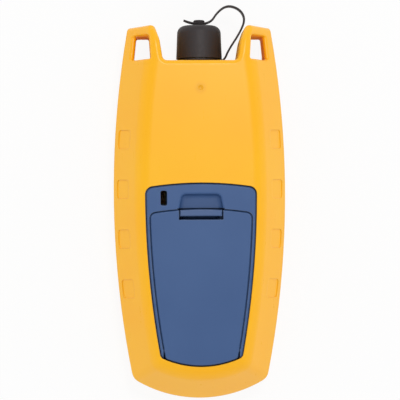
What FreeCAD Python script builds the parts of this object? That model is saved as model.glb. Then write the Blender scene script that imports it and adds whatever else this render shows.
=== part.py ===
import FreeCAD, Part

import math
import os

import Sketcher

os.makedirs("parts", exist_ok=True)
doc = FreeCAD.newDocument("fibre_fault_locator")

# Driving dimensions, millimetres.
# X is across the case, Y runs along it towards the optical port and Z comes out of the back.
# Z = 0 is the front face.
DIMENSIONS = (
    ("case_width", 76, "widest point of the case"),
    ("case_bottom", -83.5, "lowest point of the case along Y"),
    ("case_depth", 36, "front face to back face"),
    ("parting", 17, "height of the plane where the halves meet"),
    ("side_radius", 414, "plan radius of each side"),
    ("side_apex", 7.4, "Y of the widest point"),
    ("bottom_radius", 55, "plan radius of the lower end"),
    ("back_inset", 11.5, "slope of the rear flanks, measured inwards"),
    ("end_corner", 6, "rounding of the lower corners"),
    ("shoulder", 8, "rounding between rear flank and back face"),
    ("seam_bevel", 0.3, "bevel where the halves meet, on the outside of each half"),
    ("front_inset", 4, "slope of the front flanks, measured inwards"),
    ("front_round", 3.5, "rounding between front flank and front face"),
    ("wall", 2.2, "wall of the case"),
    ("front_wall", 3, "wall behind the front panel"),
    ("slab_top", 100, "top of the blank that the horns are cut from"),
    ("deck", 64.5, "Y of the flat deck round the port"),
    ("horn_tip", 80, "Y of the horn tips"),
    ("horn_base_inner", 16.2, "X of a horn's inner edge at the deck"),
    ("horn_tip_inner", 19.9, "X of a horn's inner edge at the tip"),
    ("horn_waist_inner", 17.6, "X of a horn's inner edge halfway"),
    ("horn_waist", 73.4, "Y of that halfway point"),
    ("tip_round", 2.4, "rounding of a horn's inner corner at the tip"),
    ("waist_round", 8, "rounding of a horn's inner edge halfway"),
    ("foot_round", 2.2, "rounding between horn and deck"),
    ("loop_base", 65.1, "Y of the loop opening's lower edge"),
    ("loop_top", 75.8, "Y of the loop opening's top"),
    ("loop_corner", 0.9, "rounded corners of the loop opening"),
    ("loop_top_inner", 22.1, "X of the loop opening, top inner corner"),
    ("loop_top_outer", 27.7, "X of the loop opening, top outer corner"),
    ("loop_base_inner", 21.4, "X of the loop opening, lower inner corner"),
    ("loop_base_outer", 28.8, "X of the loop opening, lower outer corner"),
    ("horn_round", 2, "rounding of a horn's outer corner at the tip"),
    ("edge_round", 1.2, "rounding of the loop openings' rims"),
    ("horn_front", 6, "front of the horns, behind the front face"),
    ("horn_front_round", 0.9, "rounding of the horns' front edges"),
    ("recess_top", 30.8, "Y of the first grip recess"),
    ("recess_pitch", 22, "spacing of the grip recesses"),
    ("recess_length", 8.2, "grip recess along the side"),
    ("recess_low", 3, "lower end of a grip recess, up the flank"),
    ("recess_high", 13, "upper end of a grip recess, up the flank"),
    ("recess_depth", 0.35, "depth of a grip recess"),
    ("recess_round", 1.6, "rounded corners of a grip recess"),
    ("bay_inset", 14.4, "bay frame, inwards from the case side"),
    ("bay_gap", 0.55, "seam between bay frame and case"),
    ("bay_top", 11, "Y of the bay frame's top"),
    ("bay_top_radius", 145, "plan radius of the bay frame's top"),
    ("bay_corner", 3, "upper corners of the bay frame"),
    ("bay_low_corner", 2, "lower corners of the bay frame"),
    ("bay_bottom", -67.5, "Y of the bay's lower end"),
    ("bay_bottom_radius", 40, "plan radius of the bay's lower end"),
    ("bay_plate", 33.6, "height of the flange under the case wall"),
    ("bay_flange", 1, "flange trapped under the case wall"),
    ("bay_base", 17.3, "underside of the bay"),
    ("bay_floor", 18.8, "floor under the cells"),
    ("band_under", 26.5, "underside of the bay frame's upper band"),
    ("door_inset", 15.9, "door, inwards from the case side"),
    ("door_gap", 0.45, "seam round the door"),
    ("door_top_radius", 133, "plan radius of the door's top"),
    ("door_corner", 2.5, "upper corners of the door"),
    ("door_under", 34.3, "underside of the door panel"),
    ("hinge_height", 34.5, "height of the door's pivots"),
    ("hinge_along", -61, "Y of the door's pivots"),
    ("pivot_radius", 0.8, "door pivots"),
    ("socket_radius", 0.87, "sockets of the door pivots"),
    ("lid_bevel", 0.45, "bevel on the edges of door, latch and bay"),
    ("latch_half", 9.1, "half width of the latch tab"),
    ("latch_window", 9.6, "half width of the window round the latch"),
    ("latch_low", -3, "Y of the latch tab's lower edge"),
    ("window_low", -4.5, "Y of the latch window's lower edge"),
    ("fold_wall", 0.8, "wall of the spring fold under the latch"),
    ("fold_half", 8.6, "half width of the spring fold"),
    ("fold_height", 28.2, "height of the spring fold's axis"),
    ("scoop_base", 9.7, "half width of the finger scoop at the door"),
    ("scoop_crest", 8.2, "half width of the finger scoop at its top"),
    ("scoop_top", 6.5, "Y of the finger scoop's top"),
    ("scoop_depth", 2.9, "depth of the finger scoop"),
    ("scoop_corner", 2.2, "rounded upper corners of the finger scoop"),
    ("scoop_bed", 1.8, "rounding between the finger scoop's floor and walls"),
    ("scoop_lip", 0.9, "rounding of the finger scoop's rim"),
    ("slot_left", -17.5, "X of the frame slot's left side"),
    ("slot_right", -14.7, "X of the frame slot's right side"),
    ("slot_low", 1.6, "Y of the frame slot's lower end"),
    ("slot_high", 8.1, "Y of the frame slot's upper end"),
    ("slot_corner", 0.9, "rounded corners of the frame slot"),
    ("gate_along", 52.5, "Y of the gate mark on the back"),
    ("gate_radius", 2.2, "ball that leaves the gate mark"),
    ("gate_depth", 0.3, "depth of the gate mark"),
    ("cell_radius", 7.25, "penlight cell"),
    ("cell_length", 50.5, "penlight cell with its nub"),
    ("cell_height", 26.3, "height of the cell axes"),
    ("cell_spacing", 7.4, "X of the cell axes"),
    ("spring_radius", 4.2, "contact springs, to the middle of the wire"),
    ("spring_pitch", 1.2, "contact springs, one turn"),
    ("spring_wire", 0.37, "wire of the contact springs, which has six sides"),
    ("cap_rim_radius", 10.1, "dust cap at its rim"),
    ("cap_top_radius", 9.65, "dust cap below its rounded top"),
    ("cap_rim", 66.3, "Y of the dust cap's rim"),
    ("cap_top", 80.9, "Y of the dust cap's top"),
    ("cap_bore", 7, "bore of the dust cap"),
    ("knob_top", 83.43, "Y of the knob's top"),
    ("cap_ceiling", 78.2, "Y of the dust cap's ceiling"),
    ("cap_round", 3.4, "rounding of the dust cap's top"),
    ("knob_radius", 2.5, "knob on the dust cap"),
    ("knob_stem", 1.6, "stem under the knob, through the strap's eyelet"),
    ("barrel_radius", 6.93, "collar of the port barrel"),
    ("collar_top", 75.4, "Y of the collar's outer end"),
    ("nose_radius", 4.6, "nose of the port barrel"),
    ("nose_top", 77.6, "Y of the nose's outer end"),
    ("neck_radius", 4, "neck of the port barrel through the deck"),
    ("neck_low", 54.2, "Y of the neck's inner end"),
    ("nut_radius", 7.4, "nut on the neck, inside the case"),
    ("nut_low", 58.5, "Y of the nut's inner end"),
    ("port_stop", 1, "hole behind the port sleeve, which stops the ferrule"),
    ("sleeve_seat", 66, "Y of the step that the port sleeve stands on"),
    ("sleeve_room", 1.95, "bore of the port barrel round the sleeve"),
    ("sleeve_bore", 1.25, "ferrule bore of the port sleeve"),
    ("sleeve_top", 77.2, "Y of the sleeve's outer end"),
    ("holder_low", 36, "Y of the laser holder's inner end"),
    ("holder_high", 58.2, "Y of the laser holder's outer end"),
    ("holder_radius", 5.6, "outside of the laser holder"),
    ("holder_bore", 2.55, "bore of the laser holder round the lens"),
    ("diode_bore", 2.9, "bore of the laser holder round the diode"),
    ("diode_room", 42, "Y where the diode's bore ends"),
    ("diode_flange", 2.8, "flange of the laser diode"),
    ("diode_can", 2.35, "can of the laser diode"),
    ("diode_lead", 0.25, "leads of the laser diode"),
    ("lens_radius", 2.5, "focus lens"),
    ("lens_bulge", 0.7, "bulge of each face of the lens"),
    ("lens_low", 47.6, "Y of the lens's edge, inner side"),
    ("lens_high", 48.9, "Y of the lens's edge, outer side"),
    ("strap_thickness", 0.9, "tether strap"),
    ("strap_width", 4, "tether strap"),
    ("strap_level", 81.85, "Y of the strap where it passes the knob"),
    ("ring_level", 65.5, "Y of the tether ring's middle"),
    ("panel_inset", 13.5, "front panel recess, inwards from the case side"),
    ("small_key_radius", 4.5, "mode key"),
    ("pipe_radius", 1.6, "light pipes"),
    ("panel_face", 0.5, "front panel, below the front face"),
    ("panel_back", 1.7, "underside of the front panel"),
    ("key_radius", 6.2, "power key"),
    ("key_face", 0.3, "keys, below the front face"),
    ("board_low", 9, "front side of the main board"),
    ("board_high", 10.6, "rear side of the main board"),
    ("board_half", 15, "half width of the main board"),
    ("board_end", 50, "Y of the main board's upper end"),
    ("boss_radius", 2.8, "screw bosses of the case"),
    ("boss_hole", 1.1, "holes in the screw bosses"),
    ("post_radius", 2.4, "posts under the main board"),
    ("post_hole", 0.95, "holes in the posts"),
)

sheet = doc.addObject("Spreadsheet::Sheet", "dims")
for row, (alias, size, note) in enumerate(DIMENSIONS, start=1):
    sheet.set(f"A{row}", alias)
    sheet.set(f"B{row}", str(size))
    sheet.set(f"C{row}", note)
    sheet.setAlias(f"B{row}", alias)
doc.recompute()

X_AXIS = FreeCAD.Vector(1, 0, 0)
Y_AXIS = FreeCAD.Vector(0, 1, 0)
Z_AXIS = FreeCAD.Vector(0, 0, 1)


def number(expression):
    """The value of an expression made of sheet cells."""
    return float(sheet.evalExpression(str(expression)))


def new_body(name):
    """An empty body whose label is the name of its node."""
    body = doc.addObject("PartDesign::Body", name)
    body.Label = name
    return body


def sketch_on(body, name, plane, lift):
    """An empty sketch on one of the body's own planes, moved along the plane's normal."""
    sketch = body.newObject("Sketcher::SketchObject", name)
    support = [item for item in body.Origin.OriginFeatures if item.Role == plane][0]
    sketch.AttachmentSupport = [(support, "")]
    sketch.MapMode = "FlatFace"
    sketch.setExpression(".AttachmentOffset.Base.z", str(lift))
    return sketch


def hold(sketch, kind, geometry, point, expression):
    """Fix one coordinate of a sketch point to an expression."""
    index = sketch.addConstraint(Sketcher.Constraint(kind, -1, 1, geometry, point, number(expression)))
    sketch.setExpression(f"Constraints[{index}]", str(expression))


def hold_radius(sketch, geometry, expression):
    """Fix the radius of an arc or circle to an expression."""
    index = sketch.addConstraint(Sketcher.Constraint("Radius", geometry, number(expression)))
    sketch.setExpression(f"Constraints[{index}]", str(expression))


def arc_between(start, end, radius):
    """A short arc from start to end and its first and last point numbers. A negative radius is clockwise."""
    chord = end - start
    middle = (start + end) * 0.5
    rise = math.sqrt(max(0, radius * radius - chord.Length * chord.Length / 4))
    left = FreeCAD.Vector(-chord.y, chord.x, 0).normalize()
    centre = middle + left * math.copysign(rise, radius)
    first, last = (start, end) if radius > 0 else (end, start)
    begin = math.atan2(first.y - centre.y, first.x - centre.x)
    finish = math.atan2(last.y - centre.y, last.x - centre.x)
    if finish < begin:
        finish += 2 * math.pi
    arc = Part.ArcOfCircle(Part.Circle(centre, Z_AXIS, abs(radius)), begin, finish)
    return (arc, 1, 2) if radius > 0 else (arc, 2, 1)


def path(sketch, corners, closed=True):
    """Lines and arcs through corners: (x, y) or (x, y, radius of the arc to the next corner), as expressions."""
    spots = [FreeCAD.Vector(number(corner[0]), number(corner[1]), 0) for corner in corners]
    edges = []
    count = len(corners) if closed else len(corners) - 1
    for index in range(count):
        start = spots[index]
        end = spots[(index + 1) % len(spots)]
        if len(corners[index]) == 2:
            shape, first, last = Part.LineSegment(start, end), 1, 2
        else:
            shape, first, last = arc_between(start, end, number(corners[index][2]))
        geometry = sketch.addGeometry(shape, False)
        if len(corners[index]) == 3:
            hold_radius(sketch, geometry, str(corners[index][2]).lstrip("-"))
        edges.append((geometry, first, last))
    for index, (geometry, first, last) in enumerate(edges):
        hold(sketch, "DistanceX", geometry, first, corners[index][0])
        hold(sketch, "DistanceY", geometry, first, corners[index][1])
        if closed or index + 1 < len(edges):
            following = edges[(index + 1) % len(edges)]
            sketch.addConstraint(Sketcher.Constraint("Coincident", geometry, last, following[0], following[1]))
    if not closed:
        hold(sketch, "DistanceX", edges[-1][0], edges[-1][2], corners[-1][0])
        hold(sketch, "DistanceY", edges[-1][0], edges[-1][2], corners[-1][1])


def rectangle(sketch, left, low, right, high):
    """A rectangle between two corners."""
    path(sketch, ((left, low), (right, low), (right, high), (left, high)))


def rounded_rectangle(sketch, left, low, right, high, corner):
    """A rectangle between two corners, with rounded corners."""
    path(sketch, (
        (f"{left} + {corner}", low),
        (f"{right} - {corner}", low, corner),
        (right, f"{low} + {corner}"),
        (right, f"{high} - {corner}", corner),
        (f"{right} - {corner}", high),
        (f"{left} + {corner}", high, corner),
        (left, f"{high} - {corner}"),
        (left, f"{low} + {corner}", corner),
    ))


def circle(sketch, across, along, radius):
    """A circle about a centre."""
    centre = FreeCAD.Vector(number(across), number(along), 0)
    geometry = sketch.addGeometry(Part.Circle(centre, Z_AXIS, number(radius)), False)
    hold(sketch, "DistanceX", geometry, 3, across)
    hold(sketch, "DistanceY", geometry, 3, along)
    hold_radius(sketch, geometry, radius)


def corner_centre(side, side_reach, end, end_reach, upper):
    """The centre of a corner arc on the right: where two circles about side and end cross."""
    line = end - side
    along = (side_reach**2 - end_reach**2 + line.Length**2) / (2 * line.Length)
    across = math.sqrt(side_reach**2 - along**2)
    foot = side + line * (along / line.Length)
    normal = FreeCAD.Vector(-line.y, line.x, 0).normalize()
    choices = sorted((foot + normal * across, foot - normal * across), key=lambda spot: spot.y)
    return choices[1] if upper else choices[0]


def arc_about(centre, radius, start, end):
    """An anticlockwise arc about a centre, from the direction of start to the direction of end."""
    begin = math.atan2(start.y - centre.y, start.x - centre.x)
    finish = math.atan2(end.y - centre.y, end.x - centre.x)
    if finish < begin:
        finish += 2 * math.pi
    return Part.ArcOfCircle(Part.Circle(centre, Z_AXIS, radius), begin, finish)


def shield(sketch, inset, top, bottom):
    """The outline of bay, door and panel: side arcs concentric with the case's, end arcs and round corners.

    top and bottom are (apex along Y, radius, corner radius), all expressions.
    """
    side_expression = f"dims.side_radius - ({inset})"
    side_reach = number(side_expression)
    side = FreeCAD.Vector(number("dims.case_width / 2 - dims.side_radius"), number("dims.side_apex"), 0)
    top_centre = FreeCAD.Vector(0, number(f"({top[0]}) - ({top[1]})"), 0)
    low_centre = FreeCAD.Vector(0, number(f"({bottom[0]}) + ({bottom[1]})"), 0)
    top_reach, top_corner = number(top[1]), number(top[2])
    low_reach, low_corner = number(bottom[1]), number(bottom[2])
    upper = corner_centre(side, side_reach - top_corner, top_centre, top_reach - top_corner, True)
    lower = corner_centre(side, side_reach - low_corner, low_centre, low_reach - low_corner, False)
    touch = [
        lower + (lower - side).normalize() * low_corner,
        upper + (upper - side).normalize() * top_corner,
        upper + (upper - top_centre).normalize() * top_corner,
        lower + (lower - low_centre).normalize() * low_corner,
    ]

    def flip(spot):
        return FreeCAD.Vector(-spot.x, spot.y, 0)

    arcs = (
        arc_about(side, side_reach, touch[0], touch[1]),
        arc_about(upper, top_corner, touch[1], touch[2]),
        arc_about(top_centre, top_reach, touch[2], flip(touch[2])),
        arc_about(flip(upper), top_corner, flip(touch[2]), flip(touch[1])),
        arc_about(flip(side), side_reach, flip(touch[1]), flip(touch[0])),
        arc_about(flip(lower), low_corner, flip(touch[0]), flip(touch[3])),
        arc_about(low_centre, low_reach, flip(touch[3]), touch[3]),
        arc_about(lower, low_corner, touch[3], touch[0]),
    )
    ids = [sketch.addGeometry(arc, False) for arc in arcs]
    for index, geometry in enumerate(ids):
        sketch.addConstraint(Sketcher.Constraint("Tangent", geometry, 2, ids[(index + 1) % 8], 1))
    radii = (side_expression, top[2], top[1], top[2], side_expression, bottom[2], bottom[1], bottom[2])
    for geometry, radius in zip(ids, radii):
        hold_radius(sketch, geometry, radius)
    hold(sketch, "DistanceX", ids[0], 3, "dims.case_width / 2 - dims.side_radius")
    hold(sketch, "DistanceX", ids[4], 3, "dims.side_radius - dims.case_width / 2")
    for geometry in (ids[0], ids[4]):
        hold(sketch, "DistanceY", geometry, 3, "dims.side_apex")
    for geometry in (ids[2], ids[6]):
        sketch.addConstraint(Sketcher.Constraint("PointOnObject", geometry, 3, -2))
    hold(sketch, "DistanceY", ids[2], 3, f"({top[0]}) - ({top[1]})")
    hold(sketch, "DistanceY", ids[6], 3, f"({bottom[0]}) + ({bottom[1]})")


def pad(body, sketch, length, back=False):
    """Material along the sketch's normal, or against it."""
    feature = body.newObject("PartDesign::Pad", sketch.Name + "_pad")
    feature.Profile = sketch
    feature.setExpression("Length", str(length))
    feature.Reversed = back
    doc.recompute()
    return feature


def pocket(body, sketch, length, ahead=False):
    """A cut against the sketch's normal, or along it."""
    feature = body.newObject("PartDesign::Pocket", sketch.Name + "_pocket")
    feature.Profile = sketch
    feature.setExpression("Length", str(length))
    feature.Reversed = ahead
    doc.recompute()
    return feature


def turn(body, sketch):
    """A full turn of a profile about the sketch's vertical axis."""
    feature = body.newObject("PartDesign::Revolution", sketch.Name + "_turn")
    feature.Profile = sketch
    feature.ReferenceAxis = (sketch, ["V_Axis"])
    feature.Angle = 360
    doc.recompute()
    return feature


def bar(body, kind, name, radius, height, base, axis):
    """A round bar added to or cut from a body. base is (x, y, z) expressions."""
    feature = body.newObject(f"PartDesign::{kind}Cylinder", name)
    feature.setExpression("Radius", str(radius))
    feature.setExpression("Height", str(height))
    spot = FreeCAD.Vector(*[number(part) for part in base])
    feature.Placement = FreeCAD.Placement(spot, FreeCAD.Rotation(Z_AXIS, axis))
    doc.recompute()
    return feature


def block(body, kind, name, low, high):
    """A block added to or cut from a body between two opposite corners, both (x, y, z) expressions."""
    feature = body.newObject(f"PartDesign::{kind}Box", name)
    for side, start, end in zip(("Length", "Width", "Height"), low, high):
        feature.setExpression(side, f"({end}) - ({start})")
    feature.Placement.Base = FreeCAD.Vector(*[number(part) for part in low])
    doc.recompute()
    return feature


def finish_edges(body, kind, name, sizing, size, rule):
    """Add a fillet or chamfer to the edges of the body that a rule picks."""
    base = body.Tip
    picked = [f"Edge{index}" for index, edge in enumerate(base.Shape.Edges, start=1) if rule(edge)]
    feature = body.newObject("PartDesign::" + kind, name)
    feature.Base = (base, picked)
    feature.setExpression(sizing, str(size))
    doc.recompute()
    return feature


def soften(body, name, radius, rule):
    """Round the edges of the body that a rule picks."""
    return finish_edges(body, "Fillet", name, "Radius", radius, rule)


def bevel(body, name, size, rule):
    """Bevel the edges of the body that a rule picks."""
    return finish_edges(body, "Chamfer", name, "Size", size, rule)


def middle(edge):
    """The point halfway along an edge."""
    return edge.valueAt((edge.FirstParameter + edge.LastParameter) / 2)


def level_at(edge, height):
    """True where an edge lies in the level plane at a height."""
    return edge.BoundBox.ZLength < 1e-4 and abs(middle(edge).z - number(height)) < 1e-4


def on_back(edge):
    """True where an edge lies in the plane of the back face."""
    return level_at(edge, "dims.case_depth")


# The two halves of the moulded case

def cone(name, across, along, low, high, low_radius, high_radius, spin):
    """An upright cone between two heights, turned so that its seam is out of the way."""
    feature = doc.addObject("Part::Cone", name)
    feature.setExpression("Radius1", low_radius)
    feature.setExpression("Radius2", high_radius)
    feature.setExpression("Height", f"({high}) - ({low})")
    feature.Placement.Rotation = FreeCAD.Rotation(Z_AXIS, spin)
    feature.setExpression(".Placement.Base.x", across)
    feature.setExpression(".Placement.Base.y", along)
    feature.setExpression(".Placement.Base.z", low)
    return feature


def sloped_form(name, low, high, low_inset, high_inset, top):
    """A slab whose sides and lower end slope: the common part of two side cones and a rounded end."""
    radii = [f"dims.side_radius - ({inset})" for inset in (low_inset, high_inset)]
    ends = [f"dims.bottom_radius - ({inset})" for inset in (low_inset, high_inset)]
    reach = "dims.case_width / 2 - dims.side_radius"
    right = cone(name + "_right", reach, "dims.side_apex", low, high, radii[0], radii[1], 180)
    left = cone(name + "_left", f"-({reach})", "dims.side_apex", low, high, radii[0], radii[1], 0)
    end_along = "dims.case_bottom + dims.bottom_radius"
    end = cone(name + "_end", "0", end_along, low, high, ends[0], ends[1], 90)
    rest = doc.addObject("Part::Box", name + "_rest")
    rest.setExpression("Length", "dims.case_width * 2")
    rest.setExpression("Width", f"({top}) - ({end_along})")
    rest.setExpression("Height", f"({high}) - ({low})")
    rest.setExpression(".Placement.Base.x", "-dims.case_width")
    rest.setExpression(".Placement.Base.y", end_along)
    rest.setExpression(".Placement.Base.z", low)
    long = doc.addObject("Part::MultiFuse", name + "_long")
    long.Shapes = [end, rest]
    form = doc.addObject("Part::MultiCommon", name)
    form.Shapes = [right, left, long]
    doc.recompute()
    return form


def form_edges(name, kind, base, size, rule):
    """Round or bevel the edges of a form that a rule picks."""
    feature = doc.addObject("Part::" + kind, name)
    feature.Base = base
    reach = number(size)
    picked = [index for index, edge in enumerate(base.Shape.Edges, start=1) if rule(edge)]
    feature.Edges = [(index, reach, reach) for index in picked]
    doc.recompute()
    return feature


def case_half(name, low, high, low_inset, high_inset, face, rounding, inner, inner_insets):
    """One half of the case, hollow, with its horns and loops cut."""
    form = sloped_form(name + "_form", low, high, low_inset, high_inset, "dims.slab_top")
    below_top = number("dims.slab_top") - 1
    corners = form_edges(name + "_corners", "Fillet", form, "dims.end_corner",
                         lambda edge: edge.BoundBox.ZLength > 5 and middle(edge).y < -60)
    shoulder = form_edges(name + "_shoulder", "Fillet", corners, rounding,
                          lambda edge: level_at(edge, face) and middle(edge).y < below_top)
    seam = form_edges(name + "_seam", "Chamfer", shoulder, "dims.seam_bevel",
                      lambda edge: level_at(edge, "dims.parting") and middle(edge).y < below_top)
    hollow = sloped_form(name + "_hollow", *inner, *inner_insets, "dims.deck - dims.wall")
    shell = doc.addObject("Part::Cut", name + "_shell")
    shell.Base = seam
    shell.Tool = hollow
    doc.recompute()
    body = new_body(name)
    body.BaseFeature = shell
    doc.recompute()
    is_front = number(face) == 0
    if is_front:
        set_back = sketch_on(body, name + "_set_back", "YZ_Plane", "-60")
        path(set_back, (
            ("dims.deck - 3", "-3"),
            ("130", "-3"),
            ("130", "dims.horn_front"),
            ("dims.deck + 3", "dims.horn_front"),
            ("dims.deck - 3", "0"),
        ))
        pocket(body, set_back, "120", ahead=True)

    notch = sketch_on(body, name + "_notch", "XY_Plane", "dims.case_depth + 2")
    path(notch, (
        ("-60", "dims.horn_tip"),
        ("-dims.horn_tip_inner", "dims.horn_tip"),
        ("-dims.horn_waist_inner", "dims.horn_waist"),
        ("-dims.horn_base_inner", "dims.deck"),
        ("dims.horn_base_inner", "dims.deck"),
        ("dims.horn_waist_inner", "dims.horn_waist"),
        ("dims.horn_tip_inner", "dims.horn_tip"),
        ("60", "dims.horn_tip"),
        ("60", "130"),
        ("-60", "130"),
    ))
    pocket(body, notch, "dims.case_depth + 4")
    for side in ("-", ""):
        word = "_loop_left" if side else "_loop_right"
        hole = sketch_on(body, name + word, "XY_Plane", "dims.case_depth + 2")
        path(hole, (
            (side + "dims.loop_base_inner", "dims.loop_base"),
            (side + "dims.loop_base_outer", "dims.loop_base"),
            (side + "dims.loop_top_outer", "dims.loop_top"),
            (side + "dims.loop_top_inner", "dims.loop_top"),
        ))
        pocket(body, hole, "dims.case_depth + 4")

    def upright(edge, across, along):
        spot = middle(edge)
        line = edge.Curve.TypeId == "Part::GeomLine" and edge.BoundBox.ZLength > 5
        return line and abs(abs(spot.x) - number(across)) < 0.01 and abs(spot.y - number(along)) < 0.01

    def horn_edge(edge):
        spot = middle(edge)
        return edge.BoundBox.ZLength > 2 and abs(spot.y - number("dims.horn_tip")) < 0.01 and abs(spot.x) > 24

    def front_edge(edge):
        spot = middle(edge)
        flat = edge.BoundBox.ZLength < 0.01 and abs(spot.z - number("dims.horn_front")) < 0.01
        return flat and spot.y > number("dims.deck + 3.2")

    def loop_edge(edge):
        spot = middle(edge)
        across = number("dims.loop_base_inner") - 0.5 < abs(spot.x) < number("dims.loop_base_outer") + 0.1
        inside = across and number("dims.loop_base") - 0.1 < spot.y < number("dims.loop_top") + 0.1
        apart = abs(spot.z - number("dims.parting")) > 0.6
        return inside and apart and not (edge.Curve.TypeId == "Part::GeomLine" and edge.BoundBox.ZLength > 3)

    for corner, radius, across, along in (
        ("_tip_round", "dims.tip_round", "dims.horn_tip_inner", "dims.horn_tip"),
        ("_foot_round", "dims.foot_round", "dims.horn_base_inner", "dims.deck"),
        ("_waist_round", "dims.waist_round", "dims.horn_waist_inner", "dims.horn_waist"),
        ("_loop_top_inner", "dims.loop_corner", "dims.loop_top_inner", "dims.loop_top"),
        ("_loop_top_outer", "dims.loop_corner", "dims.loop_top_outer", "dims.loop_top"),
        ("_loop_base_inner", "dims.loop_corner", "dims.loop_base_inner", "dims.loop_base"),
        ("_loop_base_outer", "dims.loop_corner", "dims.loop_base_outer", "dims.loop_base"),
    ):
        soften(body, name + corner, radius, lambda edge: upright(edge, across, along))
    soften(body, name + "_horn_round", "dims.horn_round", horn_edge)
    if is_front:
        soften(body, name + "_front_round", "dims.horn_front_round", front_edge)
    else:
        soften(body, name + "_loop_round", "dims.edge_round", loop_edge)
    return body


def grip_recesses(body):
    """Four shallow recesses on each rear flank, spaced round the side's arc."""
    centre = number("dims.side_radius - dims.case_width / 2")
    slope = FreeCAD.Vector(-number("dims.back_inset"), 0, number("dims.case_depth - dims.parting")).normalize()
    out = FreeCAD.Vector(slope.z, 0, -slope.x)
    low = number("dims.recess_low")
    for side, word in ((-1, "left"), (1, "right")):
        for step in range(4):
            along = number("dims.recess_top - dims.side_apex") - step * number("dims.recess_pitch")
            swing = FreeCAD.Rotation(Z_AXIS, math.degrees(math.asin(along / number("dims.side_radius"))))
            corner = FreeCAD.Vector(number("dims.side_radius"), 0, number("dims.parting")) + slope * low
            corner += FreeCAD.Vector(0, side * number("dims.recess_length") / 2, 0)
            corner = swing.multVec(corner - out * number("dims.recess_depth")) - FreeCAD.Vector(centre, 0, 0)
            climb = swing.multVec(slope)
            across = swing.multVec(FreeCAD.Vector(0, -side, 0))
            corner = FreeCAD.Vector(side * corner.x, corner.y + number("dims.side_apex"), corner.z)
            climb = FreeCAD.Vector(side * climb.x, climb.y, climb.z)
            across = FreeCAD.Vector(side * across.x, across.y, across.z)
            recess = body.newObject("PartDesign::SubtractiveBox", f"grip_{word}_{step + 1}")
            recess.setExpression("Length", "dims.recess_high - dims.recess_low")
            recess.setExpression("Width", "dims.recess_length")
            recess.Height = 3
            turned_axes = FreeCAD.Rotation(climb, across, climb.cross(across), "XYZ")
            recess.Placement = FreeCAD.Placement(corner, turned_axes)
            doc.recompute()

    def recess_corner(edge):
        spot = middle(edge)
        return edge.Length < 2 * number("dims.recess_depth") and abs(spot.x) > 20 and abs(spot.y) < 40

    soften(body, "grip_corners", "dims.recess_round", recess_corner)


BAY_TOP = ("dims.bay_top", "dims.bay_top_radius", "dims.bay_corner")
BAY_BOTTOM = ("dims.bay_bottom", "dims.bay_bottom_radius", "dims.bay_low_corner")

rear_case = case_half(
    "rear_case", "dims.parting", "dims.case_depth", "0", "dims.back_inset", "dims.case_depth", "dims.shoulder",
    ("dims.parting", "dims.case_depth - dims.wall"), ("dims.wall + 0.2", "dims.back_inset + 1.5"),
)
grip_recesses(rear_case)
bay_opening = sketch_on(rear_case, "bay_opening", "XY_Plane", "dims.case_depth + 1")
shield(
    bay_opening,
    "dims.bay_inset - dims.bay_gap",
    [size + " + dims.bay_gap" for size in BAY_TOP],
    [f"{BAY_BOTTOM[0]} - dims.bay_gap"] + [size + " + dims.bay_gap" for size in BAY_BOTTOM[1:]],
)
pocket(rear_case, bay_opening, "4")
gate_mark = rear_case.newObject("PartDesign::SubtractiveSphere", "gate_mark")
gate_mark.setExpression("Radius", "dims.gate_radius")
gate_mark.setExpression(".Placement.Base.y", "dims.gate_along")
gate_mark.setExpression(".Placement.Base.z", "dims.case_depth + dims.gate_radius - dims.gate_depth")
doc.recompute()
PORT_HOLE = ("dims.neck_radius + 0.05", "5", ("0", "61", "dims.parting"), Y_AXIS)
bar(rear_case, "Subtractive", "rear_port_hole", *PORT_HOLE)

front_case = case_half(
    "front_case", "0", "dims.parting", "dims.front_inset", "0", "0", "dims.front_round",
    ("dims.front_wall", "dims.parting"), ("dims.front_inset + 2", "dims.wall + 0.2"),
)
bar(front_case, "Subtractive", "front_port_hole", *PORT_HOLE)

PANEL_TOP = ("48", "145", "4")
PANEL_BOTTOM = ("-50", "120", "4")
panel_recess = sketch_on(front_case, "panel_recess", "XY_Plane", "-1")
shield(panel_recess, "dims.panel_inset", PANEL_TOP, PANEL_BOTTOM)
pocket(front_case, panel_recess, "1 + dims.panel_back", ahead=True)

POWER_KEY = ("0", "-14")
MODE_KEY = ("0", "8")
INDICATORS = (("left", "-9", "27"), ("middle", "0", "27"), ("right", "9", "27"))
CASE_SCREWS = (("-18.8", "-4.5"), ("18.8", "-4.5"), ("-7", "-65"), ("7", "-65"))
BOARD_SCREWS = (("-12.5", "-46"), ("12.5", "-46"), ("-12.5", "46"), ("12.5", "46"))


def front_holes(body, name, low, depth):
    """The holes for both keys and the light pipes, cut along Z."""
    holes = sketch_on(body, name, "XY_Plane", low)
    circle(holes, POWER_KEY[0], POWER_KEY[1], "dims.key_radius + 0.3")
    circle(holes, MODE_KEY[0], MODE_KEY[1], "dims.small_key_radius + 0.3")
    for _, across, along in INDICATORS:
        circle(holes, across, along, "dims.pipe_radius + 0.1")
    pocket(body, holes, depth, ahead=True)


front_holes(front_case, "case_front_holes", "-1", "6")
for index, (across, along) in enumerate(CASE_SCREWS, start=1):
    low = (across, along, "dims.front_wall - 0.2")
    height = "dims.bay_base - dims.front_wall + 0.1"
    bar(front_case, "Additive", f"boss_{index}", "dims.boss_radius", height, low, Z_AXIS)
    bar(front_case, "Subtractive", f"boss_hole_{index}", "dims.boss_hole", "20", (across, along, "7"), Z_AXIS)
for index, (across, along) in enumerate(BOARD_SCREWS, start=1):
    low = (across, along, "dims.front_wall - 0.2")
    height = "dims.board_low - dims.front_wall + 0.15"
    bar(front_case, "Additive", f"post_{index}", "dims.post_radius", height, low, Z_AXIS)
    bar(front_case, "Subtractive", f"post_hole_{index}", "dims.post_hole", "8", (across, along, "4.5"), Z_AXIS)

# Front panel, keys and light pipes

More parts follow.
